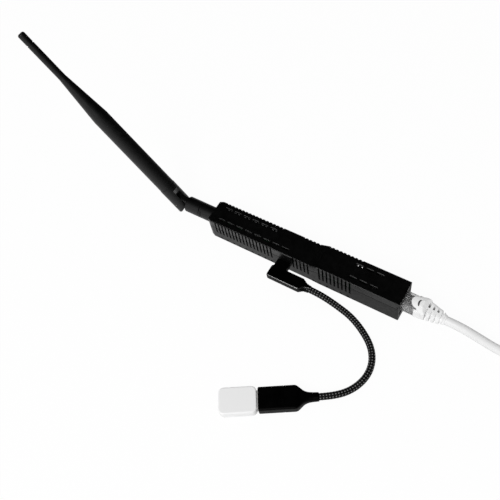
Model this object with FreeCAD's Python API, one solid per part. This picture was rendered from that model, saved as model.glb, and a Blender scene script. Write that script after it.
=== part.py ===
# A network radio stick for a smart home. A long slotted case in two shells carries a tilting and
# swivelling antenna on one end, a network socket in the other end and a USB-C socket in one long side.
# A short USB lead and a network lead are plugged into it. Sizes are in millimetres, +Z is up and
# +X runs along the stick from the antenna to the network socket. The origin is on the underside.
import FreeCAD, Part
import math
import os
from FreeCAD import Placement, Rotation, Vector

# Network plug, the same at both ends of the lead
net_plug_width = 11.68
net_plug_height = 8.3
net_plug_length = 21.5
net_plug_corner = 0.4
net_plug_insert = 12.0
net_plug_lift = 0.2
plug_waist = 0.12
plug_waist_start = 9.0
blade_thickness = 0.35
blade_length = 4.9
blade_height = 2.9
blade_start = 0.3
blade_foot = 0.5
latch_width = 3.2
latch_thickness = 0.9
latch_length = 17.5
latch_start = 1.0
latch_rise = 1.5
latch_front_rise = 0.3
latch_root = 0.6
latch_fillet = 2.0
catch_width = 5.76
catch_start = 3.2
catch_length = 3.2
catch_rise = 1.2
catch_front_share = 0.75

# Network socket, which the high end of the case is built round
socket_width = 16.0
socket_height = 13.4
socket_depth = 21.3
socket_setback = 0.3
socket_sheet = 0.35
socket_side_gap = 0.2
socket_roof_gap = 0.6
port_side_gap = 0.15
port_roof_gap = 0.2
port_floor = 1.5
port_depth = 15.2
latch_slot_side_gap = 0.32
latch_slot_rise = 1.6
contact_count = 8
contact_pitch = 1.02
contact_thickness = 0.4
contact_setback = 2.5
contact_rise = 0.6

# Case
case_length = 150.0
high_height = 23.2
step_rise = 2.2
step_inset = 0.3
step_start = 8.5
step_length = 6.0
wall = 1.6
roof = 1.6
floor_thickness = 1.6
skirt_height = 6.8
parting_gap = 0.4
side_draft = 0.3
top_bevel = 0.5
foot_bevel = 0.9
corner_cut_length = 2.6
corner_cut_depth = 1.2
lip_thickness = 0.7
lip_height = 1.2
lip_clearance = 0.1
sill_thickness = 1.6
dimple_radius = 0.65
dimple_depth = 0.8
dimple_margin = 1.1
dimple_drop = 4.4

# Slits in the sides, slots in the roof and vents low in the sides
slit_width = 1.3
slit_overcut = 0.15
slit_notch = 0.8
slit_head_drop = 2.0
slit_slope_start = 10.6
slit_foot = 8.2
slit_foot_depth = 0.5
slit_pitch = 2.9
slit_end_margin = 6.6
slit_usb_margin_before = 9.3
slit_usb_margin_after = 7.5
slit_step_margin_before = 1.0
slit_step_margin_after = 1.8
network_side_slits = 9
slot_length = 5.7
slot_width = 1.2
slot_chamfer = 0.35
slot_pitch = 7.5
slot_offset = 5.1
low_slot_margin = 7.0
low_slots_near = 8
low_slots_far = 6
high_slot_margin = 38.3
high_slots = 3
vent_width = 1.5
vent_sill = 1.3
vent_height = 2.0
vent_reach = 3.0
vent_pitch = 5.4
low_vent_margin = 9.0
low_vents = 9
high_vent_margin = 2.4
high_vents = 6

# Main board and case screws
board_thickness = 1.6
board_side_gap = 0.3
board_end_gap = 0.3
board_front_gap = 0.5
ledge_length = 3.0
ledge_reach = 0.8
ledge_root = 0.1
ledge_antenna_margin = 6.5
ledge_usb_margin = 18.3
ledge_step_margin = 5.5
ledge_network_margin = 9.0
post_radius = 2.6
post_gap = 0.1
screw_radius = 1.1
screw_length = 11.0
screw_head_radius = 1.9
screw_head_height = 1.4
screw_head_sink = 0.8
screw_hole_gap = 0.15
screw_bite_gap = 0.05
recess_width = 0.45
recess_length = 2.2
recess_depth = 0.7

# What stands on the board
module_thickness = 0.8
radio_length = 22.0
radio_width = 13.6
processor_length = 19.0
processor_width = 13.2
shield_height = 2.2
shield_sheet = 0.25
shield_margin = 1.0
shield_share = 0.74
chip_length = 7.0
chip_height = 0.9
transformer_length = 10.0
transformer_width = 10.4
transformer_height = 8.4
bobbin_overhang = 1.2
bobbin_width = 7.6
bobbin_height = 3.2
bobbin_rise = 1.0
capacitor_radius = 3.15
capacitor_height = 10.5
capacitor_offset = 3.9
capacitor_groove_height = 1.6
capacitor_groove_radius = 0.35
inductor_length = 6.4
inductor_height = 3.0
inductor_corner = 1.2

# USB-C socket and right-angle plug
usb_place = -11.7
usb_socket_width = 8.94
usb_socket_height = 3.2
usb_socket_depth = 7.35
usb_socket_sheet = 0.3
usb_socket_back = 0.6
usb_socket_setback = 0.35
usb_plug_width = 8.25
usb_plug_height = 2.4
usb_plug_insert = 6.4
usb_plug_sheet = 0.3
usb_plug_back = 0.6
usb_tongue_width = 6.7
usb_tongue_height = 0.7
usb_tongue_length = 5.0
usb_window_clearance = 0.15
angle_thickness = 5.6
angle_neck_width = 10.0
angle_neck_length = 5.7
angle_body_width = 9.4
angle_back_reach = 6.0
angle_front_reach = 19.2
angle_taper_length = 5.5
angle_waist_share = 0.55
angle_waist_width = 6.6
angle_waist_height = 5.5
angle_exit_diameter = 5.5
angle_neck_edge = 1.2
angle_corner = 1.1
angle_edge = 0.9
angle_gap = 0.15

# Antenna connector
jack_rise = 5.4
jack_block = 6.4
jack_thread_radius = 3.15
jack_thread_length = 8.6
jack_bore_radius = 2.3
jack_bore_floor = 1.5
jack_hole_clearance = 0.25
insulator_setback = 2.2
centre_pin_radius = 0.5
centre_pin_length = 6.5
centre_pin_seat = 0.2
coupling_gap = 0.6
coupling_radius = 5.85
coupling_web = 1.2
coupling_floor_gap = 0.15
coupling_nut_radius = 4.3
coupling_nut_length = 6.6
coupling_nut_setback = 0.4
coupling_ring_width = 0.45
coupling_ring_depth = 0.35
coupling_ring_places = (0.7, 1.7)
thread_clearance = 0.05
barrel_gap = 0.35
barrel_radius = 5.9
barrel_length = 12.3
barrel_chamfer = 0.5
spigot_radius = 3.4
spigot_length = 2.4
spigot_side_gap = 0.08
spigot_end_gap = 0.15

# Antenna and its hinge
hinge_gap = 1.55
tongue_thickness = 4.2
tongue_radius = 5.5
tongue_inset = 0.3
slot_clearance = 0.12
pin_radius = 1.25
pin_clearance = 0.05
pin_setback = 0.5
antenna_lean = 53.0
fork_radius = 6.3
fork_slot_depth = 11.0
fork_length = 15.0
fork_spigot_length = 6.0
sleeve_wall = 1.5
sleeve_base_radius = 6.1
sleeve_top_radius = 5.85
sleeve_base_length = 70.0
sleeve_flare_length = 36.5
whip_length = 28.1
whip_radius = 2.65
whip_bore_radius = 1.4
whip_bore_setback = 4.0
tip_neck_radius = 2.3
tip_neck_length = 0.9
tip_radius = 2.6
tip_length = 8.4
tip_dome = 1.4
tip_spigot_length = 2.5
core_seat = 1.5
core_radius = 1.6
core_length = 49.5
wire_radius = 0.7
wire_end_gap = 1.1

# USB lead
usb_cord_diameter = 4.4
plug_angle = 32.5
plug_front = Vector(23.25, -102.55, 0)
plug_width = 15.9
plug_thickness = 8.0
plug_block_length = 15.8
plug_straight_length = 6.2
plug_neck_length = 14.6
plug_neck_diameter = 5.8
plug_edge = 1.2
plug_front_edge = 0.4
# Share of the neck's length, then what is left there of the extra width and of the extra height
plug_neck_shape = ((0.16, 0.77, 0.82), (0.36, 0.28, 0.45), (0.55, 0.08, 0.18))
usb_a_width = 12.0
usb_a_height = 4.5
usb_a_length = 18.75
usb_a_sheet = 0.35
usb_a_back = 0.5
usb_a_tongue_height = 1.9
usb_a_tongue_setback = 0.4
usb_a_window = 2.5
usb_a_window_place = 6.0
usb_a_window_offset = 2.75
cap_length = 24.8
cap_width = 17.8
cap_height = 7.4
cap_gap = 1.7
cap_clearance = 0.1
cap_end = 1.6
cap_corner = 3.6
cap_edge = 1.0

# Boots of the network plugs
boot_width = 12.9
boot_height = 9.7
boot_start = 20.6
boot_length = 20.4
boot_end_width = 6.9
boot_end_height = 6.9
boot_near_droop = 1.9
boot_far_droop = 0.7
boot_clearance = 0.02
# Share of the length, corner radius, and what is left there of the extra width and of the extra height
boot_shape = ((0.0, 1.6, 1.0, 1.0), (0.2, 2.0, 1.0, 1.0), (0.4, 2.8, 0.88, 0.9), (0.7, 3.4, 0.53, 0.62),
              (0.84, 3.6, 0.34, 0.4), (1.0, 3.4, 0.0, 0.0))
guard_start = 17.0
guard_front_radius = 4.2
guard_thickness = 1.1
guard_gap = 0.3
guard_crown_radius = 9.5
guard_root = 24.0
guard_slope_start = 25.8
guard_slope_foot = 8.6
guard_arm_bend = 23.0
guard_arm_height = 7.7
guard_arm_foot = 2.5
guard_arm_end = 28.0
# The flare of the hood behind its round front, as length along the plug and half width
guard_flare = ((23.0, 5.3), (26.0, 6.55), (28.0, 6.4), (29.2, 6.2))
pad_place = 25.6
pad_radius = 2.8
pad_rise = 0.15
crescent_inner = 3.15
crescent_outer = 4.25
crescent_front = 22.6
groove_count = 4
groove_pitch = 2.8
groove_width = 1.1
groove_depth = 0.8
groove_corner = 2.6
groove_end = 4.2

# Network lead
net_cord_diameter = 6.0
coil_centre = Vector(175.0, 36.0, 0)
coil_mean_radius = 32.6
coil_layer_turns = 2.6
coil_layers = 2
coil_slack = 1.0
coil_looseness = 0.4
coil_edge = 2.4
far_plug_turn = 100.0

# Places worked out from the sizes above
high_width = socket_width + 2 * (socket_side_gap + wall)
low_width = high_width - 2 * step_inset
low_height = high_height - step_rise
low_parting = low_height - skirt_height
high_parting = high_height - skirt_height
half_length = case_length / 2
step_end = step_start + step_length
slit_depth = wall + slit_overcut
board_top = high_height - roof - socket_roof_gap - socket_height
board_bottom = board_top - board_thickness
board_width = min(low_width, high_width) - 2 * (wall + board_side_gap)
socket_front = half_length - socket_setback
socket_back = socket_front - socket_depth
socket_top = board_top + socket_height
port_width = net_plug_width + 2 * port_side_gap
port_bottom = board_top + port_floor
port_top = port_bottom + net_plug_lift + net_plug_height + port_roof_gap
latch_slot_width = catch_width + 2 * latch_slot_side_gap
usb_height = board_top + usb_socket_height / 2
usb_side = low_width / 2
angle_face = usb_side + angle_gap
jack_height = board_top + jack_rise
jack_face = -half_length + wall + board_end_gap
jack_end = -half_length - jack_thread_length
coupling_front = -half_length - coupling_gap
spigot_floor = jack_end - coupling_web
coupling_back = spigot_floor - spigot_length + barrel_gap - spigot_end_gap
nut_start = coupling_front - coupling_nut_setback - coupling_nut_length
barrel_front = coupling_back - barrel_gap
barrel_back = barrel_front - barrel_length
hinge_place = barrel_back - hinge_gap - fork_radius
flare_start = fork_length + sleeve_base_length
flare_end = flare_start + sleeve_flare_length
whip_end = flare_end + whip_length
core_start = fork_slot_depth + core_seat
core_end = core_start + core_length
plug_shoulder = plug_block_length + plug_straight_length
plug_total = plug_shoulder + plug_neck_length
plug_middle = plug_thickness / 2
net_plug_bottom = port_bottom + net_plug_lift
net_plug_nose = socket_front - net_plug_insert
boot_end = boot_start + boot_length
boot_middle = net_plug_height / 2
net_exit = Vector(net_plug_nose + boot_end, 0, net_plug_bottom + boot_middle - boot_near_droop)
far_plug_lift = (boot_height - net_plug_height) / 2
far_plug_exit = Vector(222.5, 45.8, far_plug_lift + boot_middle - boot_far_droop)


def spread(start, end, lengths):
    # The middles of pieces set out in a row with equal gaps
    gap = (end - start - sum(lengths)) / (len(lengths) + 1)
    middles = []
    for length in lengths:
        start += gap
        middles.append(start + length / 2)
        start += length
    return middles


transformer_room = transformer_length + 2 * bobbin_overhang
antenna_screw, radio_middle, chip_middle = spread(
    jack_face + jack_block, usb_place - usb_socket_width / 2, (2 * post_radius, radio_length, chip_length))
processor_middle, transformer_middle, capacitor_middle, network_screw, inductor_middle = spread(
    usb_place + usb_socket_width / 2, socket_back,
    (processor_length, transformer_room, 2 * capacitor_radius, 2 * post_radius, inductor_length))
screw_places = (antenna_screw, network_screw)


# Shapes that the sections below share

def box(x0, x1, y0, y1, z0, z1):
    return Part.makeBox(x1 - x0, y1 - y0, z1 - z0, Vector(x0, y0, z0))


def side_box(side, x0, x1, inner, outer, z0, z1):
    # A box from the inner to the outer distance from the middle plane, on side 1 or -1
    return box(x0, x1, min(side * inner, side * outer), max(side * inner, side * outer), z0, z1)


def centred_box(middle, length, width, z0, height):
    # A block across the middle plane
    return box(middle - length / 2, middle + length / 2, -width / 2, width / 2, z0, z0 + height)


def rod(radius, length, base, direction):
    return Part.makeCylinder(radius, length, base, direction)


def face_of(points):
    return Part.Face(Part.makePolygon(points + [points[0]]))


def plate_xz(points, y0, y1):
    corners = [Vector(x, y0, z) for x, z in points]
    return face_of(corners).extrude(Vector(0, y1 - y0, 0))


def plate_yz(points, x0, x1):
    corners = [Vector(x0, y, z) for y, z in points]
    return face_of(corners).extrude(Vector(x1 - x0, 0, 0))


def plate_xy(points, z0, z1):
    corners = [Vector(x, y, z0) for x, y in points]
    return face_of(corners).extrude(Vector(0, 0, z1 - z0))


def turned(profile):
    # A solid of revolution about X, from points of distance along X and radius
    corners = [Vector(x, 0, r) for x, r in profile]
    solid = face_of(corners).revolve(Vector(0, 0, 0), Vector(1, 0, 0), 360)
    return Part.Solid(solid.Shells[0]) if solid.Volume < 0 else solid


def joined(shapes):
    first = shapes[0]
    return first.fuse(shapes[1:]).removeSplitter() if len(shapes) > 1 else first


def slot_hole(x0, x1, y, width, z0, z1):
    # An upright hole with round ends
    radius = width / 2
    middle = box(x0 + radius, x1 - radius, y - radius, y + radius, z0, z1)
    return joined([middle] + [post(radius, z1 - z0, x, y, z0) for x in (x0 + radius, x1 - radius)])


def stadium_y(x, z, width, height, y0, y1):
    # A flat bar with round sides that runs along Y, such as the mouth of a USB-C plug
    radius = height / 2
    half = width / 2 - radius
    middle = box(x - half, x + half, y0, y1, z - radius, z + radius)
    ends = [rod(radius, y1 - y0, Vector(x + side * half, y0, z), Vector(0, 1, 0)) for side in (-1, 1)]
    return joined([middle] + ends)


def post(radius, height, x, y, z):
    # An upright cylinder that stands at a height
    return rod(radius, height, Vector(x, y, z), Vector(0, 0, 1))


def barrel(radius, length, x, z):
    # A cylinder along X
    return rod(radius, length, Vector(x, 0, z), Vector(1, 0, 0))


def round_rect(x, y, z, width, height, radius):
    # A wire in a plane across X, with its centre at the place given
    side = width / 2
    rise = height / 2
    corner = min(radius, side - 0.05, rise - 0.05)
    inset = corner * (1 - math.sqrt(0.5))
    edges = []
    quarters = ((1, 1), (-1, 1), (-1, -1), (1, -1))
    for index, (sign_y, sign_z) in enumerate(quarters):
        outer = Vector(x, y + sign_y * side, z + sign_z * (rise - corner))
        upper = Vector(x, y + sign_y * (side - corner), z + sign_z * rise)
        middle = Vector(x, y + sign_y * (side - inset), z + sign_z * (rise - inset))
        start, end = (outer, upper) if index % 2 == 0 else (upper, outer)
        arc = Part.Arc(start, middle, end).toShape()
        if edges:
            edges.append(Part.LineSegment(edges[-1].Vertexes[-1].Point, start).toShape())
        edges.append(arc)
    edges.append(Part.LineSegment(edges[-1].Vertexes[-1].Point, edges[0].Vertexes[0].Point).toShape())
    return Part.Wire(Part.__sortEdges__(edges))


def long_edges(shape, axis, tolerance=0.001):
    # The straight edges of a shape that run along one axis
    found = []
    for edge in shape.Edges:
        run = edge.Vertexes[-1].Point.sub(edge.Vertexes[0].Point)
        if run.Length > tolerance and abs(run.dot(axis)) > run.Length - tolerance:
            found.append(edge)
    return found


# Case

def case_section(x, width, height, parting):
    # The outer outline of the case across its length
    half = width / 2
    foot = half - side_draft
    points = [
        (-foot + foot_bevel, 0), (foot - foot_bevel, 0), (foot, foot_bevel), (half, parting),
        (half, height - top_bevel), (half - top_bevel, height), (-half + top_bevel, height),
        (-half, height - top_bevel), (-half, parting), (-foot, foot_bevel)]
    corners = [Vector(x, y, z) for y, z in points]
    return Part.makePolygon(corners + [corners[0]])


def flat_section(x, width, bottom, top):
    half = width / 2
    corners = [Vector(x, y, z) for y, z in ((-half, bottom), (half, bottom), (half, top), (-half, top))]
    return Part.makePolygon(corners + [corners[0]])


def case_block():
    start = -half_length
    sections = [
        case_section(start, low_width - 2 * corner_cut_depth, low_height, low_parting),
        case_section(start + corner_cut_length, low_width, low_height, low_parting),
        case_section(step_start, low_width, low_height, low_parting),
        case_section(step_end, high_width, high_height, high_parting),
        case_section(half_length, high_width, high_height, high_parting)]
    return Part.makeLoft(sections, True, True)


def hollow_block(inset, bottom, ceiling_drop, end_inset):
    # The space inside the case, open at the network end
    start = -half_length + end_inset
    low = low_width - 2 * inset
    high = high_width - 2 * inset
    sections = [
        flat_section(start, low - 2 * corner_cut_depth, bottom, low_height - ceiling_drop),
        flat_section(start + corner_cut_length, low, bottom, low_height - ceiling_drop),
        flat_section(step_start, low, bottom, low_height - ceiling_drop),
        flat_section(step_end, high, bottom, high_height - ceiling_drop),
        flat_section(half_length + 1, high, bottom, high_height - ceiling_drop)]
    return Part.makeLoft(sections, True, True)


def parting_band(lower, upper):
    # Everything between two heights measured from the parting line
    far = half_length + 5
    line = ((-far, low_parting), (step_start, low_parting), (step_end, high_parting), (far, high_parting))
    points = [(x, z + lower) for x, z in line] + [(x, z + upper) for x, z in reversed(line)]
    return plate_xz(points, -high_width, high_width)


def slit_rows():
    # The middle of each slit, with the half width and height of the case there
    low = (low_width / 2, low_height)
    high = (high_width / 2, high_height)
    spans = [(-half_length + slit_end_margin, usb_place - slit_usb_margin_before),
             (usb_place + slit_usb_margin_after, step_start - slit_step_margin_before)]
    rows = []
    for first, last in spans:
        count = 1 + int((last - first) / slit_pitch + 0.01)
        rows += [(first + i * slit_pitch,) + low for i in range(count)]
    first = step_end + slit_step_margin_after
    rows += [(first + i * slit_pitch,) + high for i in range(network_side_slits)]
    return rows


def side_slits():
    # Upright slits: a notch in the roof's edge, through the wall below it and shallow at the foot
    cutters = []
    for x, half, height in slit_rows():
        notch = half - slit_notch
        deep = half - slit_depth
        outline = ((half + 1, height + 1), (notch, height + 1), (notch, height - slit_head_drop),
                   (deep, height - slit_head_drop), (deep, slit_slope_start),
                   (half - slit_foot_depth, slit_foot), (half + 1, slit_foot))
        for side in (-1, 1):
            points = [(side * y, z) for y, z in outline]
            cutters.append(plate_yz(points, x - slit_width / 2, x + slit_width / 2))
    return cutters


def side_vents():
    low_first = -half_length + low_vent_margin
    high_first = step_start + high_vent_margin
    rows = [(low_first + i * vent_pitch, low_width / 2) for i in range(low_vents)]
    rows += [(high_first + i * vent_pitch, high_width / 2) for i in range(high_vents)]
    cutters = []
    for x, half in rows:
        for side in (-1, 1):
            cutters.append(side_box(side, x - vent_width / 2, x + vent_width / 2, half - vent_reach,
                                    half + 1, vent_sill, vent_sill + vent_height))
    return cutters


def jack_hole():
    return barrel(jack_thread_radius + jack_hole_clearance, wall + 4, -half_length - 2, jack_height)


def lower_shell():
    block = case_block()
    hollow = hollow_block(wall, floor_thickness, roof, wall)
    tub = block.common(parting_band(-2 * high_height, 0)).cut(hollow)
    lip_inset = wall - lip_thickness
    lip = hollow_block(lip_inset, floor_thickness, roof, lip_inset)
    lip = lip.cut(hollow).common(parting_band(-0.5, lip_height))
    lip = lip.common(box(-half_length, half_length, -high_width, high_width, 0, 2 * high_height))
    side = high_width / 2 - wall
    sill = box(half_length - sill_thickness, half_length, -side, side, floor_thickness, board_bottom)
    bosses = [post(post_radius, board_bottom - floor_thickness, x, 0, floor_thickness) for x in screw_places]
    holes = []
    for x in screw_places:
        holes.append(post(screw_head_radius + screw_hole_gap, screw_head_sink + screw_head_height, x, 0, 0))
        holes.append(post(screw_radius + screw_hole_gap, board_bottom, x, 0, 0))
    tub = joined([tub, lip, sill] + bosses + board_ledges())
    window = stadium_y(usb_place, usb_height, usb_socket_width + 2 * usb_window_clearance,
                       usb_socket_height + 2 * usb_window_clearance, -usb_side - 1, -usb_side + wall + 0.5)
    return tub.cut(side_slits() + side_vents() + holes + [jack_hole(), window])


def board_ledges():
    # Short ribs on both side walls that the board rests on
    places = (-half_length + ledge_antenna_margin, usb_place - ledge_usb_margin,
              step_start - ledge_step_margin, half_length - ledge_network_margin)
    ledges = []
    for x in places:
        half = (low_width if x < step_start else high_width) / 2
        for side in (-1, 1):
            ledges.append(side_box(side, x - ledge_length / 2, x + ledge_length / 2,
                                   board_width / 2 - ledge_reach, half - wall + ledge_root,
                                   floor_thickness, board_bottom))
    return ledges


def top_cover():
    block = case_block()
    hollow = hollow_block(wall, floor_thickness, roof, wall)
    cover = block.common(parting_band(parting_gap, 2 * high_height)).cut(hollow)
    rebate_inset = wall - lip_thickness - lip_clearance
    rebate = hollow_block(rebate_inset, floor_thickness, roof, rebate_inset)
    cover = cover.cut(rebate.common(parting_band(-1, lip_height + lip_clearance)))
    foot = board_top + post_gap
    posts = []
    pilots = []
    for x in screw_places:
        ceiling = (low_height if x < step_start else high_height) - roof
        posts.append(post(post_radius, ceiling - foot + roof / 2, x, 0, foot))
        pilots.append(post(screw_radius + screw_bite_gap, screw_length, x, 0, foot - 1))
    dimple = rod(dimple_radius, dimple_depth + 1,
                 Vector(half_length - dimple_margin, -high_width / 2 - 1, high_height - dimple_drop),
                 Vector(0, 1, 0))
    cover = joined([cover] + posts)
    return cover.cut(side_slits() + roof_slots() + pilots + [jack_hole(), dimple])


def roof_slots():
    low_first = -half_length + low_slot_margin
    high_first = half_length - high_slot_margin
    rows = [(low_first, low_slots_near, -slot_offset, low_height),
            (low_first, low_slots_far, slot_offset, low_height),
            (high_first, high_slots, -slot_offset, high_height),
            (high_first, high_slots, slot_offset, high_height)]
    cutters = []
    for first, count, y, height in rows:
        for i in range(count):
            x = first + i * slot_pitch
            cutters.append(slot_hole(x, x + slot_length, y, slot_width, height - roof - 0.5, height + 0.5))
            cutters.append(slot_lead_in(x, x + slot_length, y, height))
    return cutters


def slot_lead_in(x0, x1, y, height):
    # The chamfer round the mouth of a slot, which goes on above the roof as it widens
    inner = slot_width / 2
    outer = inner + 2 * slot_chamfer
    low = height - slot_chamfer
    high = height + slot_chamfer
    middle = plate_yz(((y - inner, low), (y + inner, low), (y + outer, high), (y - outer, high)),
                      x0 + inner, x1 - inner)
    ends = [Part.makeCone(inner, outer, high - low, Vector(x, y, low)) for x in (x0 + inner, x1 - inner)]
    return joined([middle] + ends)


def case_screws():
    # Two self-tapping screws with cross recesses, put in from below
    seat = screw_head_sink + screw_head_height
    depth = screw_head_sink + recess_depth
    screws = []
    for x in screw_places:
        head = post(screw_head_radius, screw_head_height, x, 0, screw_head_sink)
        shank = post(screw_radius, screw_length, x, 0, seat)
        cross = [centred_box(x, along, across, 0, depth)
                 for along, across in ((recess_length, recess_width), (recess_width, recess_length))]
        screws.append(joined([head, shank]).cut(cross))
    return Part.Compound(screws)


# Boards and what they carry

def main_board():
    end = socket_front - board_front_gap
    half = board_width / 2
    start = jack_face
    shoulder = start + corner_cut_length
    outline = ((start, -half + corner_cut_depth), (shoulder, -half), (end, -half), (end, half),
               (shoulder, half), (start, half - corner_cut_depth))
    board = plate_xy(outline, board_bottom, board_top)
    holes = [post(screw_radius + screw_hole_gap, board_thickness + 2, x, 0, board_bottom - 1)
             for x in screw_places]
    return board.cut(holes)


def module_board(middle, length, width):
    return centred_box(middle, length, width, board_top, module_thickness)


def module_shield(middle, length, width):
    # A folded can over the first part of a module, open below
    base = board_top + module_thickness
    can_length = shield_share * length - shield_margin
    can_width = width - 2 * shield_margin
    can_middle = middle - length / 2 + shield_margin + can_length / 2
    can = centred_box(can_middle, can_length, can_width, base, shield_height)
    inside = centred_box(can_middle, can_length - 2 * shield_sheet, can_width - 2 * shield_sheet,
                         base - 1, shield_height + 1 - shield_sheet)
    return can.cut(inside)


def network_chip():
    return centred_box(chip_middle, chip_length, chip_length, board_top, chip_height)


def power_transformer():
    core = centred_box(transformer_middle, transformer_length, transformer_width, board_top + bobbin_rise,
                       transformer_height)
    bobbin = centred_box(transformer_middle, transformer_room, bobbin_width, board_top, bobbin_height)
    return joined([core, bobbin])


def capacitors():
    # Two cans side by side, each with the groove of its seal
    cans = []
    for side in (-1, 1):
        y = side * capacitor_offset
        can = post(capacitor_radius, capacitor_height, capacitor_middle, y, board_top)
        groove = Part.makeTorus(capacitor_radius + capacitor_groove_radius / 2, capacitor_groove_radius,
                                Vector(capacitor_middle, y, board_top + capacitor_groove_height),
                                Vector(0, 0, 1))
        cans.append(can.cut(groove))
    return Part.Compound(cans)


def power_inductor():
    block = centred_box(inductor_middle, inductor_length, inductor_length, board_top, inductor_height)
    return block.makeFillet(inductor_corner, long_edges(block, Vector(0, 0, 1)))


# Network socket

def network_socket_shell():
    # A folded sheet over the top, the sides and the back
    half = socket_width / 2
    can = box(socket_back, socket_front, -half, half, board_top, socket_top)
    inside = box(socket_back + socket_sheet, socket_front + 1, -half + socket_sheet, half - socket_sheet,
                 board_top - 1, socket_top - socket_sheet)
    return can.cut(inside)


def port_space(outside):
    return box(socket_front - port_depth, socket_front + outside, -port_width / 2, port_width / 2,
               port_bottom, port_top)


def latch_space(outside):
    return box(socket_front - port_depth, socket_front + outside, -latch_slot_width / 2, latch_slot_width / 2,
               port_top - 0.5, port_top + latch_slot_rise)


def contact_rows():
    return [(i - (contact_count - 1) / 2) * contact_pitch for i in range(contact_count)]


def contact_bars(z1):
    # From the back of the port towards its mouth
    half = contact_thickness / 2
    return [box(socket_front - port_depth, socket_front - contact_setback, y - half, y + half,
                board_top + contact_rise, z1) for y in contact_rows()]


def network_socket_body():
    half = socket_width / 2 - socket_sheet
    body = box(socket_back + socket_sheet, socket_front, -half, half, board_top, socket_top - socket_sheet)
    return body.cut([port_space(1.0), latch_space(1.0)] + contact_bars(port_bottom + 0.5))


def network_socket_contacts():
    # Eight springs that lie in the grooves of the socket's floor
    return Part.Compound(contact_bars(board_top + contact_rise + contact_thickness))


# USB-C socket

def usb_socket_shell():
    y0 = -usb_side + usb_socket_setback
    y1 = y0 + usb_socket_depth
    outer = stadium_y(usb_place, usb_height, usb_socket_width, usb_socket_height, y0, y1)
    inner = stadium_y(usb_place, usb_height, usb_socket_width - 2 * usb_socket_sheet,
                      usb_socket_height - 2 * usb_socket_sheet, y0 - 1, y1 - usb_socket_back)
    return outer.cut(inner)


def usb_socket_tongue():
    root = -usb_side + usb_socket_setback + usb_socket_depth - usb_socket_back
    half = usb_tongue_width / 2
    return box(usb_place - half, usb_place + half, root - usb_tongue_length, root,
               usb_height - usb_tongue_height / 2, usb_height + usb_tongue_height / 2)


# Antenna connector

def antenna_jack():
    # A square block on the board with a threaded barrel out through the end wall
    block = box(jack_face, jack_face + jack_block, -jack_block / 2, jack_block / 2, board_top,
                jack_height + jack_block / 2)
    reach = jack_face - jack_end
    thread = barrel(jack_thread_radius, reach, jack_end, jack_height)
    bore = barrel(jack_bore_radius, reach + jack_block - jack_bore_floor, jack_end, jack_height)
    return joined([block, thread]).cut(bore)


def antenna_jack_core():
    # The white insulator, bored for the plug's centre pin
    start = jack_end + insulator_setback
    core = barrel(jack_bore_radius, jack_face + jack_block - jack_bore_floor - start, start, jack_height)
    hole = barrel(centre_pin_radius + thread_clearance, centre_pin_length, start, jack_height)
    return core.cut(hole)


def coupling_nut():
    # The brass nut inside the coupling sleeve
    nut = barrel(coupling_nut_radius, coupling_nut_length, nut_start, jack_height)
    hole = barrel(jack_thread_radius + thread_clearance, coupling_nut_length + 2, nut_start - 1, jack_height)
    return nut.cut(hole)


def coupling_sleeve():
    # A round sleeve with two fine rings beside the swivel
    length = coupling_front - coupling_back
    sleeve = barrel(coupling_radius, length, coupling_back, jack_height)
    cutters = [barrel(coupling_nut_radius, length + 2, coupling_back - 1, jack_height)]
    for place in coupling_ring_places:
        start = coupling_back + place
        ring = barrel(coupling_radius + 1, coupling_ring_width, start, jack_height)
        core = barrel(coupling_radius - coupling_ring_depth, coupling_ring_width, start, jack_height)
        cutters.append(ring.cut(core))
    return sleeve.cut(cutters)


def coupling_pin():
    # The white collar in the sleeve and the centre pin that it holds
    collar = barrel(coupling_nut_radius, nut_start - coupling_back, coupling_back, jack_height)
    pocket = barrel(jack_thread_radius + thread_clearance, nut_start - coupling_back,
                    jack_end - coupling_floor_gap, jack_height)
    spigot_hole = barrel(spigot_radius + spigot_side_gap, spigot_floor - coupling_back, coupling_back,
                         jack_height)
    pin = barrel(centre_pin_radius, centre_pin_length, spigot_floor + centre_pin_seat, jack_height)
    return joined([collar.cut([pocket, spigot_hole]), pin])


def swivel_barrel():
    # The barrel turns on the coupling and ends in the tongue of the tilting hinge
    body = barrel(barrel_radius, barrel_length, barrel_back, jack_height)
    rims = [edge for edge in body.Edges if isinstance(edge.Curve, Part.Circle)]
    body = body.makeChamfer(barrel_chamfer, rims)
    spigot = barrel(spigot_radius, spigot_length + 1, barrel_front - 1, jack_height)
    side = tongue_thickness / 2
    arm = box(hinge_place, barrel_back + 1, -side, side, jack_height - tongue_radius,
              jack_height + tongue_radius)
    arm = arm.common(barrel(barrel_radius - tongue_inset, barrel_length + fork_radius + hinge_gap,
                            hinge_place - 1, jack_height))
    eye = rod(tongue_radius, tongue_thickness, Vector(hinge_place, -side, jack_height), Vector(0, 1, 0))
    hole = rod(pin_radius + pin_clearance, tongue_thickness + 2, Vector(hinge_place, -side - 1, jack_height),
               Vector(0, 1, 0))
    return joined([body, spigot, arm, eye]).cut(hole)


# Antenna, drawn along X from the hinge and then leaned back

def leaned(shape):
    # Along -X from the hinge, raised by the angle of lean
    placed = shape.copy()
    hinge = Vector(hinge_place, 0, jack_height)
    placed.Placement = Placement(hinge, Rotation(Vector(0, 1, 0), 180 + antenna_lean))
    return placed


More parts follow.
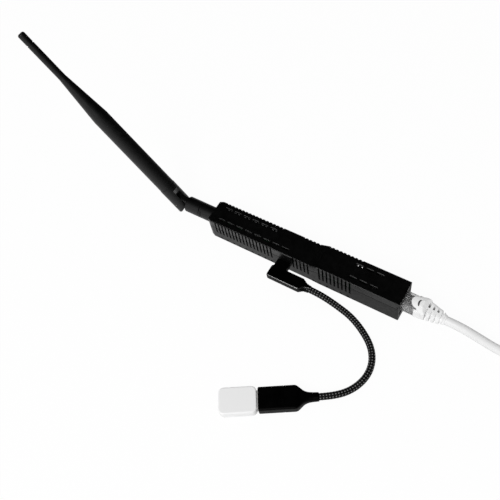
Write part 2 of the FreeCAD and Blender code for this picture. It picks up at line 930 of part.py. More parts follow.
def antenna_fork():
    # Two round cheeks beside the tongue, and a spigot for the sleeve
    slot = tongue_thickness / 2 + slot_clearance
    blank = barrel(fork_radius, fork_length, 0, 0)
    end_round = rod(fork_radius, 2 * fork_radius, Vector(0, -fork_radius, 0), Vector(0, 1, 0))
    nose = barrel(fork_radius, fork_radius + 1, -fork_radius, 0).common(end_round)
    spigot = barrel(sleeve_base_radius - sleeve_wall, fork_spigot_length + 1, fork_length - 1, 0)
    gap = box(-fork_radius - 1, fork_slot_depth, -slot, slot, -fork_radius - 1, fork_radius + 1)
    hole = rod(pin_radius, 2 * fork_radius + 2, Vector(0, -fork_radius - 1, 0), Vector(0, 1, 0))
    seat = barrel(core_radius, fork_length + fork_spigot_length, core_start, 0)
    return leaned(joined([blank, nose, spigot]).cut([gap, hole, seat]))


def hinge_pin():
    length = 2 * (fork_radius - pin_setback)
    return leaned(rod(pin_radius, length, Vector(0, -length / 2, 0), Vector(0, 1, 0)))


def antenna_sleeve():
    # A straight base, a long taper and a thin whip, hollow all the way
    bore = sleeve_base_radius - sleeve_wall
    profile = [
        (fork_length, bore), (fork_length, sleeve_base_radius), (flare_start, sleeve_top_radius),
        (flare_end, whip_radius), (whip_end, whip_radius), (whip_end, whip_bore_radius),
        (flare_end - whip_bore_setback, whip_bore_radius), (flare_start, sleeve_top_radius - sleeve_wall),
        (fork_length + fork_spigot_length + 0.5, bore)]
    return leaned(turned(profile))


def antenna_tip():
    # A plug cap with a thin neck and a domed end
    spigot = barrel(whip_bore_radius, tip_spigot_length, whip_end - tip_spigot_length, 0)
    neck = barrel(tip_neck_radius, tip_neck_length, whip_end, 0)
    head_start = whip_end + tip_neck_length
    head = barrel(tip_radius, tip_length, head_start, 0)
    rim = [edge for edge in head.Edges if edge.CenterOfMass.x > head_start + tip_length - 0.01]
    return leaned(joined([spigot, neck, head.makeFillet(tip_dome, rim)]))


def antenna_core():
    # The radiating tube and the wire above it, seated in the fork
    tube = barrel(core_radius, core_length, core_start, 0)
    wire_end = whip_end - tip_spigot_length - wire_end_gap
    wire = barrel(wire_radius, wire_end - core_end + 1, core_end - 1, 0)
    return leaned(joined([tube, wire]))


# Cords

def cord_path(points, name):
    # Straight runs joined by tangent arcs, each as large as its two runs allow
    edges = []
    start = points[0]
    radii = []
    for index in range(1, len(points) - 1):
        before = points[index].sub(points[index - 1])
        after = points[index + 1].sub(points[index])
        shorter = min(before.Length, after.Length)
        into = Vector(before).normalize()
        out = Vector(after).normalize()
        half_turn = into.getAngle(out) / 2
        radius = 0.45 * shorter / math.tan(half_turn)
        radii.append(round(radius, 1))
        cut_back = 0.45 * shorter
        arc_start = points[index].sub(into.multiply(cut_back))
        arc_end = points[index].add(out.multiply(cut_back))
        bisector = arc_start.add(arc_end).multiply(0.5).sub(points[index])
        reach = radius / math.cos(half_turn) - radius
        middle = points[index].add(bisector.normalize().multiply(reach))
        edges.append(Part.LineSegment(start, arc_start).toShape())
        edges.append(Part.Arc(arc_start, middle, arc_end).toShape())
        start = arc_end
    edges.append(Part.LineSegment(start, points[-1]).toShape())
    path = Part.Wire(edges)
    print(name, "radii", radii, "length", round(path.Length, 1))
    return path


def cord_tube(points, diameter, name):
    path = cord_path(points, name)
    direction = points[1].sub(points[0])
    circle = Part.Wire(Part.makeCircle(diameter / 2, points[0], direction))
    tube = path.makePipeShell([circle], True, True)
    expected = math.pi * diameter ** 2 / 4 * path.Length
    print(name, "volume", round(tube.Volume, 1), "expected", round(expected, 1))
    return tube


usb_exit = Vector(usb_place + angle_front_reach + angle_taper_length,
                  -(angle_face + angle_neck_length + angle_body_width / 2), usb_height)
plug_along = Vector(math.cos(math.radians(plug_angle)), math.sin(math.radians(plug_angle)), 0)
usb_cord_end = plug_front.add(Vector(plug_along).multiply(plug_total)).add(Vector(0, 0, plug_middle))

usb_cord_route = [
    usb_exit,
    Vector(20.5, -20.05, 9.2),
    Vector(29.0, -20.0, 6.7),
    Vector(37.5, -20.4, 3.5),
    Vector(46.5, -22.2, 2.4),
    Vector(57.2, -27.2, 2.2),
    Vector(67.9, -34.9, 2.2),
    Vector(73.9, -44.2, 2.2),
    Vector(75.4, -55.2, 2.2),
    Vector(71.6, -66.8, 2.2),
    Vector(62.89, -77.3, 4.0),
    usb_cord_end]

net_cord_route = [
    net_exit,
    Vector(113.0, 0.0, 11.55),
    Vector(124.0, -0.2, 8.9),
    Vector(137.0, -0.5, 5.2),
    Vector(149.5, -0.2, 3.2),
    Vector(162.0, -0.6, 3.0)]

net_tail_route = [
    Vector(182.5, -2.7, 9.0),
    Vector(197.3, -2.1, 7.0),
    Vector(211.5, 4.8, 4.7),
    Vector(221.3, 17.0, 4.1),
    Vector(224.93, 32.01, 4.15),
    far_plug_exit]


def usb_cord():
    return cord_tube(usb_cord_route, usb_cord_diameter, "usb_cord")


def network_cable():
    return cord_tube(net_cord_route, net_cord_diameter, "network_cable")


def network_cable_tail():
    return cord_tube(net_tail_route, net_cord_diameter, "network_cable_tail")


def network_cable_coil():
    # The outer shape of the cable's turns, two layers high
    half_band = (coil_layer_turns * net_cord_diameter + coil_slack) / 2
    height = coil_layers * net_cord_diameter + coil_looseness
    outer = rod(coil_mean_radius + half_band, height, coil_centre, Vector(0, 0, 1))
    inner = rod(coil_mean_radius - half_band, height, coil_centre, Vector(0, 0, 1))
    ring = outer.cut(inner)
    return ring.makeFillet(coil_edge, [edge for edge in ring.Edges if isinstance(edge.Curve, Part.Circle)])


# Right-angle USB-C plug

def angle_plug():
    neck_end = -(angle_face + angle_neck_length)
    far = neck_end - angle_body_width
    z0 = usb_height - angle_thickness / 2
    z1 = usb_height + angle_thickness / 2
    half_neck = angle_neck_width / 2
    neck = box(usb_place - half_neck, usb_place + half_neck, neck_end - 2, -angle_face, z0, z1)
    neck = neck.makeFillet(angle_neck_edge, long_edges(neck, Vector(0, 1, 0)))
    body_start = usb_place - angle_back_reach
    body_end = usb_place + angle_front_reach
    block = box(body_start, body_end, far, neck_end, z0, z1)
    upright = long_edges(block, Vector(0, 0, 1))
    back = [edge for edge in upright if edge.CenterOfMass.x < body_start + 0.1]
    block = block.makeFillet(angle_corner, back)
    level = [edge for edge in block.Edges if edge.BoundBox.ZLength < 0.01]
    block = block.makeFillet(angle_edge, [edge for edge in level if edge.CenterOfMass.x < body_end - 0.1])
    middle_y = (neck_end + far) / 2
    exit_corner = angle_exit_diameter / 2 - 0.1
    waist = body_end + angle_waist_share * angle_taper_length
    taper_end = body_end + angle_taper_length
    taper = Part.makeLoft([
        round_rect(body_end, middle_y, usb_height, angle_body_width, angle_thickness, angle_edge),
        round_rect(waist, middle_y, usb_height, angle_waist_width, angle_waist_height, 0.8 * exit_corner),
        round_rect(taper_end, middle_y, usb_height, angle_exit_diameter, angle_exit_diameter, exit_corner)
    ], True, True)
    return joined([neck, block, taper])


def angle_plug_shell():
    # The metal mouth of the plug, seated in the socket and round its tongue
    y1 = -angle_face + usb_plug_insert
    outer = stadium_y(usb_place, usb_height, usb_plug_width, usb_plug_height, -angle_face, y1)
    inner = stadium_y(usb_place, usb_height, usb_plug_width - 2 * usb_plug_sheet,
                      usb_plug_height - 2 * usb_plug_sheet, -angle_face + usb_plug_back, y1 + 1)
    return outer.cut(inner)


# USB-A plug, drawn along X from its front face and then laid down

def laid(shape):
    placed = shape.copy()
    placed.Placement = Placement(plug_front, Rotation(Vector(0, 0, 1), plug_angle))
    return placed


def usb_plug_front():
    half = plug_width / 2
    block = box(0, plug_block_length, -half, half, 0, plug_thickness)
    block = block.makeFillet(plug_edge, long_edges(block, Vector(1, 0, 0)))
    front = [edge for edge in block.Edges if edge.BoundBox.XMax < 0.01]
    return laid(block.makeFillet(plug_front_edge, front))


def usb_plug_boot():
    # The rear of the plug draws in to a round neck at the cord
    half = plug_width / 2
    straight = box(plug_block_length, plug_shoulder, -half, half, 0, plug_thickness)
    straight = straight.makeFillet(plug_edge, long_edges(straight, Vector(1, 0, 0)))
    neck_corner = plug_neck_diameter / 2 - 0.1
    sections = [round_rect(plug_shoulder, 0, plug_middle, plug_width, plug_thickness, plug_edge)]
    for share, width_left, height_left in plug_neck_shape:
        width = plug_neck_diameter + width_left * (plug_width - plug_neck_diameter)
        height = plug_neck_diameter + height_left * (plug_thickness - plug_neck_diameter)
        corner = neck_corner + height_left * (plug_edge - neck_corner)
        place = plug_shoulder + share * plug_neck_length
        sections.append(round_rect(place, 0, plug_middle, width, height, corner))
    sections.append(round_rect(plug_total, 0, plug_middle, plug_neck_diameter, plug_neck_diameter,
                               neck_corner))
    return laid(joined([straight, Part.makeLoft(sections, True, True)]))


def usb_a_shell():
    half = usb_a_width / 2
    low = plug_middle - usb_a_height / 2
    high = plug_middle + usb_a_height / 2
    outer = box(-usb_a_length, 0, -half, half, low, high)
    inner = box(-usb_a_length - 1, -usb_a_back, -half + usb_a_sheet, half - usb_a_sheet, low + usb_a_sheet,
                high - usb_a_sheet)
    window_start = -usb_a_length + usb_a_window_place
    near = usb_a_window_offset - usb_a_window / 2
    windows = [side_box(side, window_start, window_start + usb_a_window, near, near + usb_a_window,
                        0, plug_thickness) for side in (-1, 1)]
    return laid(outer.cut([inner] + windows))


def usb_a_tongue():
    # The white carrier of the contacts lies on the upper half of the shell
    high = plug_middle + usb_a_height / 2 - usb_a_sheet
    half = usb_a_width / 2 - usb_a_sheet
    return laid(box(-usb_a_length + usb_a_tongue_setback, -usb_a_back, -half, half,
                    high - usb_a_tongue_height, high))


def usb_cap():
    # A milky moulded cap pushed over the metal plug
    half = cap_width / 2
    low = plug_middle - cap_height / 2
    start = -cap_gap - cap_length
    block = box(start, -cap_gap, -half, half, low, low + cap_height)
    block = block.makeFillet(cap_corner, long_edges(block, Vector(0, 0, 1)))
    block = block.makeFillet(cap_edge, [edge for edge in block.Edges if edge.BoundBox.ZLength < 0.01])
    bore_half = usb_a_width / 2 + cap_clearance
    bore_rise = usb_a_height / 2 + cap_clearance
    bore = box(start + cap_end, -cap_gap + 1, -bore_half, bore_half, plug_middle - bore_rise,
               plug_middle + bore_rise)
    return laid(block.cut(bore))


# Network plugs, drawn along X from the nose with their underside on zero

def net_plug():
    # A clear body with a slot for each blade, and the latch with its catch on top
    half = net_plug_width / 2
    body = box(0, net_plug_length, -half, half, 0, net_plug_height)
    body = body.makeChamfer(net_plug_corner, long_edges(body, Vector(1, 0, 0)))
    waist = [side_box(side, plug_waist_start, net_plug_length + 1, half - plug_waist, half + 1, -1,
                      net_plug_height + 1) for side in (-1, 1)]
    body = body.cut(waist + blade_bars(-1, -1))
    top = net_plug_height
    latch_end = latch_start + latch_length
    root = top - latch_root
    latch = plate_xz(((latch_start, root), (latch_start, top + latch_front_rise),
                      (latch_end, top + latch_rise), (latch_end, top + latch_rise - latch_thickness),
                      (latch_start + latch_fillet, root)), -latch_width / 2, latch_width / 2)
    catch = plate_xz(((catch_start, top), (catch_start, top + catch_front_share * catch_rise),
                      (catch_start + catch_length, top + catch_rise), (catch_start + catch_length, top)),
                     -catch_width / 2, catch_width / 2)
    return joined([body, latch, catch])


def blade_bars(x0, z0):
    half = blade_thickness / 2
    return [box(x0, blade_start + blade_length, y - half, y + half, z0, blade_foot + blade_height)
            for y in contact_rows()]


def net_plug_blades():
    # Gilt blades set in the slots of the nose
    return Part.Compound(blade_bars(blade_start, blade_foot))


def boot(droop):
    # A sleeve over the back of the plug, a grooved tail and a guard over the latch
    sections = []
    for share, corner, _, _ in boot_shape:
        width, height = boot_size(share)
        sections.append(round_rect(boot_start + share * boot_length, 0,
                                   boot_middle - boot_bend(share) * droop, width, height, corner))
    sleeve = Part.makeLoft(sections, True, True)
    side = net_plug_width / 2 - plug_waist + boot_clearance
    plug_room = box(0, net_plug_length + boot_clearance, -side, side, -boot_clearance,
                    net_plug_height + boot_clearance)
    return joined([sleeve.cut(boot_grooves(droop)), latch_guard()]).cut(plug_room)


def boot_size(share):
    # The width and height of the boot at a share of its length
    rows = list(zip(boot_shape, boot_shape[1:]))
    before, after = next((row for row in rows if share <= row[1][0]), rows[-1])
    part = (share - before[0]) / (after[0] - before[0])
    width_left, height_left = [before[i] + part * (after[i] - before[i]) for i in (2, 3)]
    return (boot_end_width + width_left * (boot_width - boot_end_width),
            boot_end_height + height_left * (boot_height - boot_end_height))


def boot_bend(share):
    # How much of the droop the boot has at a share of its length
    return max(0.0, (share - 0.2) / 0.8) ** 1.5


def latch_guard():
    # A crowned hood arches over the latch. It has a round front, arms down both sides and a pad to press
    top = net_plug_height + latch_rise + guard_gap + guard_thickness
    axis = top - guard_crown_radius
    front = guard_start - 1
    end = guard_flare[-1][0]
    crown = barrel(guard_crown_radius, boot_length, guard_start, axis)
    room = barrel(guard_crown_radius - guard_thickness, guard_root - front, front, axis)
    side = plate_xz(((front, guard_arm_height), (front, top), (guard_slope_start, top),
                     (end, guard_slope_foot), (end, guard_arm_foot), (guard_arm_end, guard_arm_foot),
                     (guard_arm_bend, guard_arm_height)), -boot_width, boot_width)
    hood = crown.cut(room).common(guard_plan(top)).common(side)
    side.translate(Vector(0, 0, pad_rise))
    pad = post(pad_radius, boot_height, pad_place, 0, boot_middle + 2 * pad_rise).common(side)
    ring = post(crescent_outer, 3 * guard_thickness, pad_place, 0, top - 2 * guard_thickness)
    ring = ring.cut(post(crescent_inner, 5 * guard_thickness, pad_place, 0, top - 3 * guard_thickness))
    crescent = ring.common(box(front, crescent_front, -boot_width, boot_width, 0, 2 * boot_height))
    return joined([hood, pad]).cut(crescent)


def guard_plan(top):
    # The hood seen from above
    centre = guard_start + guard_front_radius
    near = [Vector(x, -y, 0) for x, y in guard_flare]
    far = [Vector(x, y, 0) for x, y in reversed(guard_flare)]
    first = Vector(centre, guard_front_radius, 0)
    last = Vector(centre, -guard_front_radius, 0)
    arc = Part.Arc(first, Vector(guard_start, 0, 0), last).toShape()
    sides = Part.makePolygon([last] + near + far + [first])
    return Part.Face(Part.Wire([arc] + sides.Edges)).extrude(Vector(0, 0, top + 1))


def boot_grooves(droop):
    # Cuts across the tail that leave a spine in its middle
    grooves = []
    for i in range(groove_count):
        x = boot_end - groove_end - i * groove_pitch
        share = (x - boot_start) / boot_length
        width, height = [size - 2 * groove_depth for size in boot_size(share)]
        left = x - groove_width / 2
        ring = box(left, left + groove_width, -boot_width, boot_width, -boot_height, 2 * boot_height)
        spine = round_rect(left, 0, boot_middle - boot_bend(share) * droop, width, height + groove_depth,
                           groove_corner)
        grooves.append(ring.cut(Part.Face(spine).extrude(Vector(groove_width, 0, 0))))
    return grooves


def near_end(shape):
    # Latch up, in the socket of the case
    placed = shape.copy()
    placed.translate(Vector(net_plug_nose, 0, net_plug_bottom))
    return placed


def far_end(shape):
    # Laid on the floor beside the coil
    placed = shape.copy()
    turn = Rotation(Vector(0, 0, 1), far_plug_turn + 180)
    exit_point = Vector(boot_end, 0, boot_middle - boot_far_droop)
    placed.Placement = Placement(far_plug_exit.sub(turn.multVec(exit_point)), turn)
    return placed


parts = {
    "lower_shell": lower_shell,
    "top_cover": top_cover,
    "case_screws": case_screws,
    "main_board": main_board,
    "radio_module": lambda: module_board(radio_middle, radio_length, radio_width),
    "radio_shield": lambda: module_shield(radio_middle, radio_length, radio_width),
    "processor_module": lambda: module_board(processor_middle, processor_length, processor_width),
    "processor_shield": lambda: module_shield(processor_middle, processor_length, processor_width),
    "network_chip": network_chip,
    "power_transformer": power_transformer,
    "capacitors": capacitors,
    "power_inductor": power_inductor,
    "network_socket_shell": network_socket_shell,
    "network_socket_body": network_socket_body,
    "network_socket_contacts": network_socket_contacts,
    "usb_socket_shell": usb_socket_shell,
    "usb_socket_tongue": usb_socket_tongue,
    "antenna_jack": antenna_jack,
    "antenna_jack_core": antenna_jack_core,
    "coupling_nut": coupling_nut,
    "coupling_sleeve": coupling_sleeve,
    "coupling_pin": coupling_pin,
    "swivel_barrel": swivel_barrel,
    "antenna_fork": antenna_fork,
    "hinge_pin": hinge_pin,
    "antenna_sleeve": antenna_sleeve,
    "antenna_tip": antenna_tip,
    "antenna_core": antenna_core,
    "angle_plug": angle_plug,
    "angle_plug_shell": angle_plug_shell,
    "usb_cord": usb_cord,
    "usb_plug_front": usb_plug_front,
    "usb_plug_boot": usb_plug_boot,
    "usb_a_shell": usb_a_shell,
    "usb_a_tongue": usb_a_tongue,
    "usb_cap": usb_cap,
    "network_plug": lambda: near_end(net_plug()),
    "network_plug_blades": lambda: near_end(net_plug_blades()),
    "network_boot": lambda: near_end(boot(boot_near_droop)),
    "network_cable": network_cable,
    "network_cable_coil": network_cable_coil,
    "network_cable_tail": network_cable_tail,
    "far_plug": lambda: far_end(net_plug()),
    "far_plug_blades": lambda: far_end(net_plug_blades()),
    "far_boot": lambda: far_end(boot(boot_far_droop)),
}

os.makedirs("parts", exist_ok=True)
for name, make in parts.items():
    shape = make()
    if not shape.isValid():
        print(name, "is not valid")
    shape.exportStep("parts/" + name + ".step")
    print(name, len(shape.Solids), "solids", round(shape.Volume, 1))
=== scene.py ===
import math
import bmesh
import bpy
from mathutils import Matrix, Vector


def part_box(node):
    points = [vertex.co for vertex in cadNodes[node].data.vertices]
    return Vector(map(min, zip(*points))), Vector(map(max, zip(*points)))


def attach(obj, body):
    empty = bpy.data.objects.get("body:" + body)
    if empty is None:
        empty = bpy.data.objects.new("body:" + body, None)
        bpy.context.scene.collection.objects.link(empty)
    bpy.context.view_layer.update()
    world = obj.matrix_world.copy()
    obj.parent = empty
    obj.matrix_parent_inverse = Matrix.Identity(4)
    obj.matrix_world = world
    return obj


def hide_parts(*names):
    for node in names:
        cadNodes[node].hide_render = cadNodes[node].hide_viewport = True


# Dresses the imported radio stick: cords, moulded boots, braid and the finish of every part.
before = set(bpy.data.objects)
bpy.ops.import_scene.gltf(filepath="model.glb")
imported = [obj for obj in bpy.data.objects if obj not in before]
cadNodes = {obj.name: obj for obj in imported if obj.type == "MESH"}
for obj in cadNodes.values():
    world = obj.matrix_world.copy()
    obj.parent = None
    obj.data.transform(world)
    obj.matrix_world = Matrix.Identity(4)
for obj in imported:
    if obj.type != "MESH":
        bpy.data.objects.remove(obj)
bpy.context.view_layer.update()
mm = 0.001
overcut = 2.0  # millimetres that a cutter reaches past what it cuts
blankCorner = 1.0  # of a cutter whose corners lie outside what it cuts
creaseAngle = 38  # degrees past which a shaded edge stays sharp


# Small tools

def deselectAll():
    bpy.ops.object.select_all(action="DESELECT")


def focusOn(piece):
    deselectAll()
    piece.select_set(True)
    bpy.context.view_layer.objects.active = piece


def nameActive(name):
    piece = bpy.context.active_object
    piece.name = name
    piece.data.name = name
    return piece


def newMesh(name):  # an empty mesh that is left in edit mode
    deselectAll()
    bpy.ops.mesh.primitive_plane_add(size=mm)
    piece = nameActive(name)
    bpy.ops.object.mode_set(mode="EDIT")
    bpy.ops.mesh.delete(type="VERT")
    return piece


def addModifier(piece, kind, **settings):
    focusOn(piece)
    modifier = piece.modifiers.new(kind.lower(), kind)
    for key, value in settings.items():
        setattr(modifier, key, value)
    bpy.ops.object.modifier_apply(modifier=modifier.name)


def placeAt(piece, place, turn=(0, 0, 0)):
    focusOn(piece)
    piece.location = place
    piece.rotation_euler = [math.radians(angle) for angle in turn]
    bpy.ops.object.transform_apply(location=True, rotation=True, scale=True)


def mergeInto(piece, others):  # the others become part of the piece
    focusOn(piece)
    for other in others:
        other.select_set(True)
    bpy.ops.object.join()


def addSection(x, y, z, width, height, corner, steps):  # an outline across X, in millimetres
    centre = (x * mm, y * mm, z * mm)
    bpy.ops.mesh.primitive_plane_add(size=mm, location=centre, rotation=(0, math.radians(90), 0))
    bpy.ops.transform.resize(value=(1, width, height), center_override=centre)
    bpy.ops.mesh.bevel(offset=corner * mm, segments=steps, affect="VERTICES")
    bpy.ops.mesh.delete(type="ONLY_FACE")


def bridgeSections(name, sections, steps=6, cuts=0):
    piece = newMesh(name)
    for section in sections:
        addSection(*section, steps)
    bpy.ops.mesh.select_all(action="SELECT")
    bpy.ops.mesh.bridge_edge_loops(type="SINGLE", number_cuts=cuts)
    bpy.ops.mesh.select_all(action="SELECT")
    bpy.ops.mesh.fill_holes(sides=0)
    bpy.ops.mesh.select_all(action="SELECT")
    bpy.ops.mesh.normals_make_consistent(inside=False)
    bpy.ops.object.mode_set(mode="OBJECT")
    return piece


def cutWith(piece, cutter):
    addModifier(piece, "BOOLEAN", operation="DIFFERENCE", object=cutter, solver="EXACT")
    bpy.data.objects.remove(cutter)


def keepInside(piece, other):
    addModifier(piece, "BOOLEAN", operation="INTERSECT", object=other, solver="EXACT")
    bpy.data.objects.remove(other)


def addBar(name, ends, outline, steps):  # a straight bar from one x to the other
    return bridgeSections(name, [(x, *outline) for x in ends], steps)


def addRod(name, radius, length, place, sides, turn=(0, 0, 0)):  # upright unless it is turned
    deselectAll()
    bpy.ops.mesh.primitive_cylinder_add(vertices=sides, radius=radius * mm, depth=length * mm,
                                        location=[value * mm for value in place],
                                        rotation=[math.radians(angle) for angle in turn])
    return nameActive(name)


def outlinePlate(name, corners, depth):  # a plate from an outline's corners, in millimetres
    deselectAll()
    bpy.ops.mesh.primitive_plane_add(size=mm, location=[value * mm for value in corners[0]])
    plate = nameActive(name)
    bpy.ops.object.mode_set(mode="EDIT")
    bpy.ops.mesh.merge(type="CENTER")
    for before, after in zip(corners, corners[1:]):
        step = [(new - old) * mm for old, new in zip(before, after)]
        bpy.ops.mesh.extrude_region_move(TRANSFORM_OT_translate={"value": step})
    bpy.ops.mesh.select_all(action="SELECT")
    bpy.ops.mesh.edge_face_add()
    bpy.ops.mesh.extrude_region_move(TRANSFORM_OT_translate={"value": [value * mm for value in depth]})
    bpy.ops.mesh.select_all(action="SELECT")
    bpy.ops.mesh.normals_make_consistent(inside=False)
    bpy.ops.object.mode_set(mode="OBJECT")
    return plate


def grooveRing(x, width, middle, blank, core, steps):  # what a groove takes away, down to its core
    half = width / 2
    ring = addBar("groove", (x - half, x + half), (*middle, blank, blank, blankCorner), steps)
    cutWith(ring, addBar("groove_core", (x - half - overcut, x + half + overcut), (*middle, *core), steps))
    return ring


# Materials

plasticGrain = {"mottleScale": 120, "wearScale": 300, "wear": 0.05}
metalGrain = {"toneScale": 400, "wearScale": 900, "detail": 2.0, "smoother": 0.08, "rougher": 0.1}
clearGrain = {"scale": 500, "depth": 0.01}
noiseLow, noiseHigh = 0.3, 0.7  # most of the noise lies between these


def linear(grey):  # a grey or colour of 0 to 255 as the shader wants it
    values = grey if isinstance(grey, tuple) else (grey, grey, grey)
    shares = [value / 255 for value in values]
    light = [share / 12.92 if share <= 0.04045 else ((share + 0.055) / 1.055) ** 2.4 for share in shares]
    return (*light, 1.0)


def newFinish(name, roughness, specular=0.5, metallic=0.0):
    finish = bpy.data.materials.new(name)
    finish.use_nodes = True
    shader = finish.node_tree.nodes["Principled BSDF"]
    shader.inputs["Roughness"].default_value = roughness
    shader.inputs["Specular IOR Level"].default_value = specular
    shader.inputs["Metallic"].default_value = metallic
    return finish, finish.node_tree, shader


def objectNoise(tree, scale, detail=3.0, squash=(1, 1, 1)):  # noise on Object coordinates, scale per metre
    coordinates = tree.nodes.new("ShaderNodeTexCoord")
    mapping = tree.nodes.new("ShaderNodeMapping")
    mapping.inputs["Scale"].default_value = squash
    noise = tree.nodes.new("ShaderNodeTexNoise")
    noise.inputs["Scale"].default_value = scale
    noise.inputs["Detail"].default_value = detail
    tree.links.new(coordinates.outputs["Object"], mapping.inputs["Vector"])
    tree.links.new(mapping.outputs["Vector"], noise.inputs["Vector"])
    return noise.outputs["Fac"]


def addColour(tree, shader, value, dark, light, low=noiseLow, high=noiseHigh):
    ramp = tree.nodes.new("ShaderNodeValToRGB")
    ramp.color_ramp.elements[0].position = low
    ramp.color_ramp.elements[0].color = linear(dark)
    ramp.color_ramp.elements[1].position = high
    ramp.color_ramp.elements[1].color = linear(light)
    tree.links.new(value, ramp.inputs["Fac"])
    tree.links.new(ramp.outputs["Color"], shader.inputs["Base Color"])


def fade(tree, value, fromLow, fromHigh, toLow, toHigh):
    spread = tree.nodes.new("ShaderNodeMapRange")
    spread.inputs["From Min"].default_value = fromLow
    spread.inputs["From Max"].default_value = fromHigh
    spread.inputs["To Min"].default_value = toLow
    spread.inputs["To Max"].default_value = toHigh
    tree.links.new(value, spread.inputs["Value"])
    return spread.outputs["Result"]


def addRoughness(tree, shader, value, low, high):
    tree.links.new(fade(tree, value, noiseLow, noiseHigh, low, high), shader.inputs["Roughness"])


def addBump(tree, shader, value, depth):  # depth in millimetres
    bump = tree.nodes.new("ShaderNodeBump")
    bump.inputs["Strength"].default_value = 1.0
    bump.inputs["Distance"].default_value = depth * mm
    tree.links.new(value, bump.inputs["Height"])
    tree.links.new(bump.outputs["Normal"], shader.inputs["Normal"])


def mouldedPlastic(name, dark, light, roughness, specular, grainScale, grainDepth, ior=1.5):
    finish, tree, shader = newFinish(name, roughness, specular)
    shader.inputs["IOR"].default_value = ior
    wear = plasticGrain["wear"]
    addColour(tree, shader, objectNoise(tree, plasticGrain["mottleScale"]), dark, light)
    worn = objectNoise(tree, plasticGrain["wearScale"])
    addRoughness(tree, shader, worn, roughness - wear, roughness + wear)
    addBump(tree, shader, objectNoise(tree, grainScale), grainDepth)
    return finish


def metal(name, dark, light, roughness, brushed=(1, 1, 1), metallic=1.0):
    finish, tree, shader = newFinish(name, roughness, 0.5, metallic)
    tone = objectNoise(tree, metalGrain["toneScale"], metalGrain["detail"], brushed)
    worn = objectNoise(tree, metalGrain["wearScale"], metalGrain["detail"], brushed)
    addColour(tree, shader, tone, dark, light)
    addRoughness(tree, shader, worn, roughness - metalGrain["smoother"], roughness + metalGrain["rougher"])
    return finish


def clearPlastic(name, colour, roughness, transmission, ior=1.58):
    finish, tree, shader = newFinish(name, roughness)
    shader.inputs["Base Color"].default_value = linear(colour)
    shader.inputs["Transmission Weight"].default_value = transmission
    shader.inputs["IOR"].default_value = ior
    addBump(tree, shader, objectNoise(tree, clearGrain["scale"]), clearGrain["depth"])
    return finish


finishes = {
    "caseCover": mouldedPlastic("case_cover_black", 2, 4, 0.4, 0.42, 2600, 0.01),
    "caseBase": mouldedPlastic("case_base_black", 2, 4, 0.44, 0.25, 2600, 0.01),
    "antenna": mouldedPlastic("antenna_black", 3, 6, 0.45, 0.4, 1800, 0.006),
    "plug": mouldedPlastic("plug_black", 1, 3, 0.2, 0.5, 2200, 0.002, 1.2),
    "bevel": mouldedPlastic("plug_polished_bevel", 2, 4, 0.22, 0.8, 2200, 0.001),
    "grip": mouldedPlastic("grip_black", 0, 2, 0.42, 0.07, 2200, 0.004),
    "boot": mouldedPlastic("boot_white", 241, 248, 0.5, 0.3, 900, 0.01),
    "cable": mouldedPlastic("cable_white", 234, 240, 0.42, 0.35, 700, 0.008),
    "insert": mouldedPlastic("plug_insert_grey", 196, 208, 0.5, 0.3, 900, 0.01),
    "resin": mouldedPlastic("chip_resin", 12, 18, 0.55, 0.3, 2000, 0.01),
    "board": mouldedPlastic("board_green", (8, 52, 28), (12, 66, 36), 0.35, 0.5, 1500, 0.01),
    "insulator": mouldedPlastic("insulator_white", 226, 236, 0.45, 0.4, 1200, 0.005),
    "steel": metal("nickel_plate", (176, 172, 165), (202, 199, 192), 0.24, (1, 0.1, 1)),
    "satin": metal("satin_nickel", (238, 237, 235), (250, 249, 247), 0.6, (1, 0.1, 1), 0.3),
    "tin": metal("tinned_sheet", (120, 120, 118), (142, 142, 140), 0.5, (0.1, 1, 1)),
    "aluminium": metal("can_aluminium", (70, 71, 73), (88, 89, 92), 0.6),
    "brass": metal("gilt_brass", (196, 158, 84), (222, 188, 112), 0.26),
    "copper": metal("copper_core", (168, 98, 62), (196, 122, 82), 0.35),
    "cap": clearPlastic("cap_milky", 250, 0.42, 0.08, 1.45),
    "clear": clearPlastic("plug_clear", 246, 0.12, 0.9)}

nodeFinishes = {
    "caseCover": ("top_cover",),
    "caseBase": ("lower_shell",),
    "antenna": ("coupling_sleeve", "swivel_barrel", "antenna_fork", "antenna_sleeve", "antenna_tip"),
    "steel": ("case_screws", "usb_socket_shell", "hinge_pin", "angle_plug_shell"),
    "satin": ("usb_a_shell",),
    "board": ("main_board", "radio_module", "processor_module"),
    "tin": ("radio_shield", "processor_shield", "network_socket_shell"),
    "resin": ("network_chip", "power_transformer", "power_inductor", "network_socket_body",
              "usb_socket_tongue"),
    "aluminium": ("capacitors",),
    "brass": ("network_socket_contacts", "antenna_jack", "coupling_nut", "network_plug_blades",
              "far_plug_blades"),
    "insulator": ("antenna_jack_core", "coupling_pin", "usb_a_tongue"),
    "copper": ("antenna_core",),
    "plug": ("angle_plug", "usb_plug_front", "usb_plug_boot"),
    "cap": ("usb_cap",),
    "clear": ("network_plug", "far_plug")}


def paint(piece, finish):
    piece.data.materials.clear()
    piece.data.materials.append(finish)


for finishName, nodeNames in nodeFinishes.items():
    for nodeName in nodeNames:
        paint(cadNodes[nodeName], finishes[finishName])
print("CAD nodes finished")


# Floor, world, lamps and camera

studio = {
    "floorSize": 8.0, "floorHeight": -0.0001, "floorGrey": 244, "floorGlow": 0.96,
    "ambient": 0.48,
    "lamps": (((0.0, -0.95, 1.05), 0.5, 9.5), ((-0.39, -1.21, 0.57), 0.16, 1.5)),
    "lookAt": (0.02, -0.03, 0.01), "horizon": (0.0, 0.25, 1.0, 0.01), "skyBehind": (-0.1, 0.4, 1.0, 0.06),
    "floorBehind": (0.02, 0.12, 1.0, 0.06), "floorRight": (-0.04, 0.03, 1.0, 0.6)}


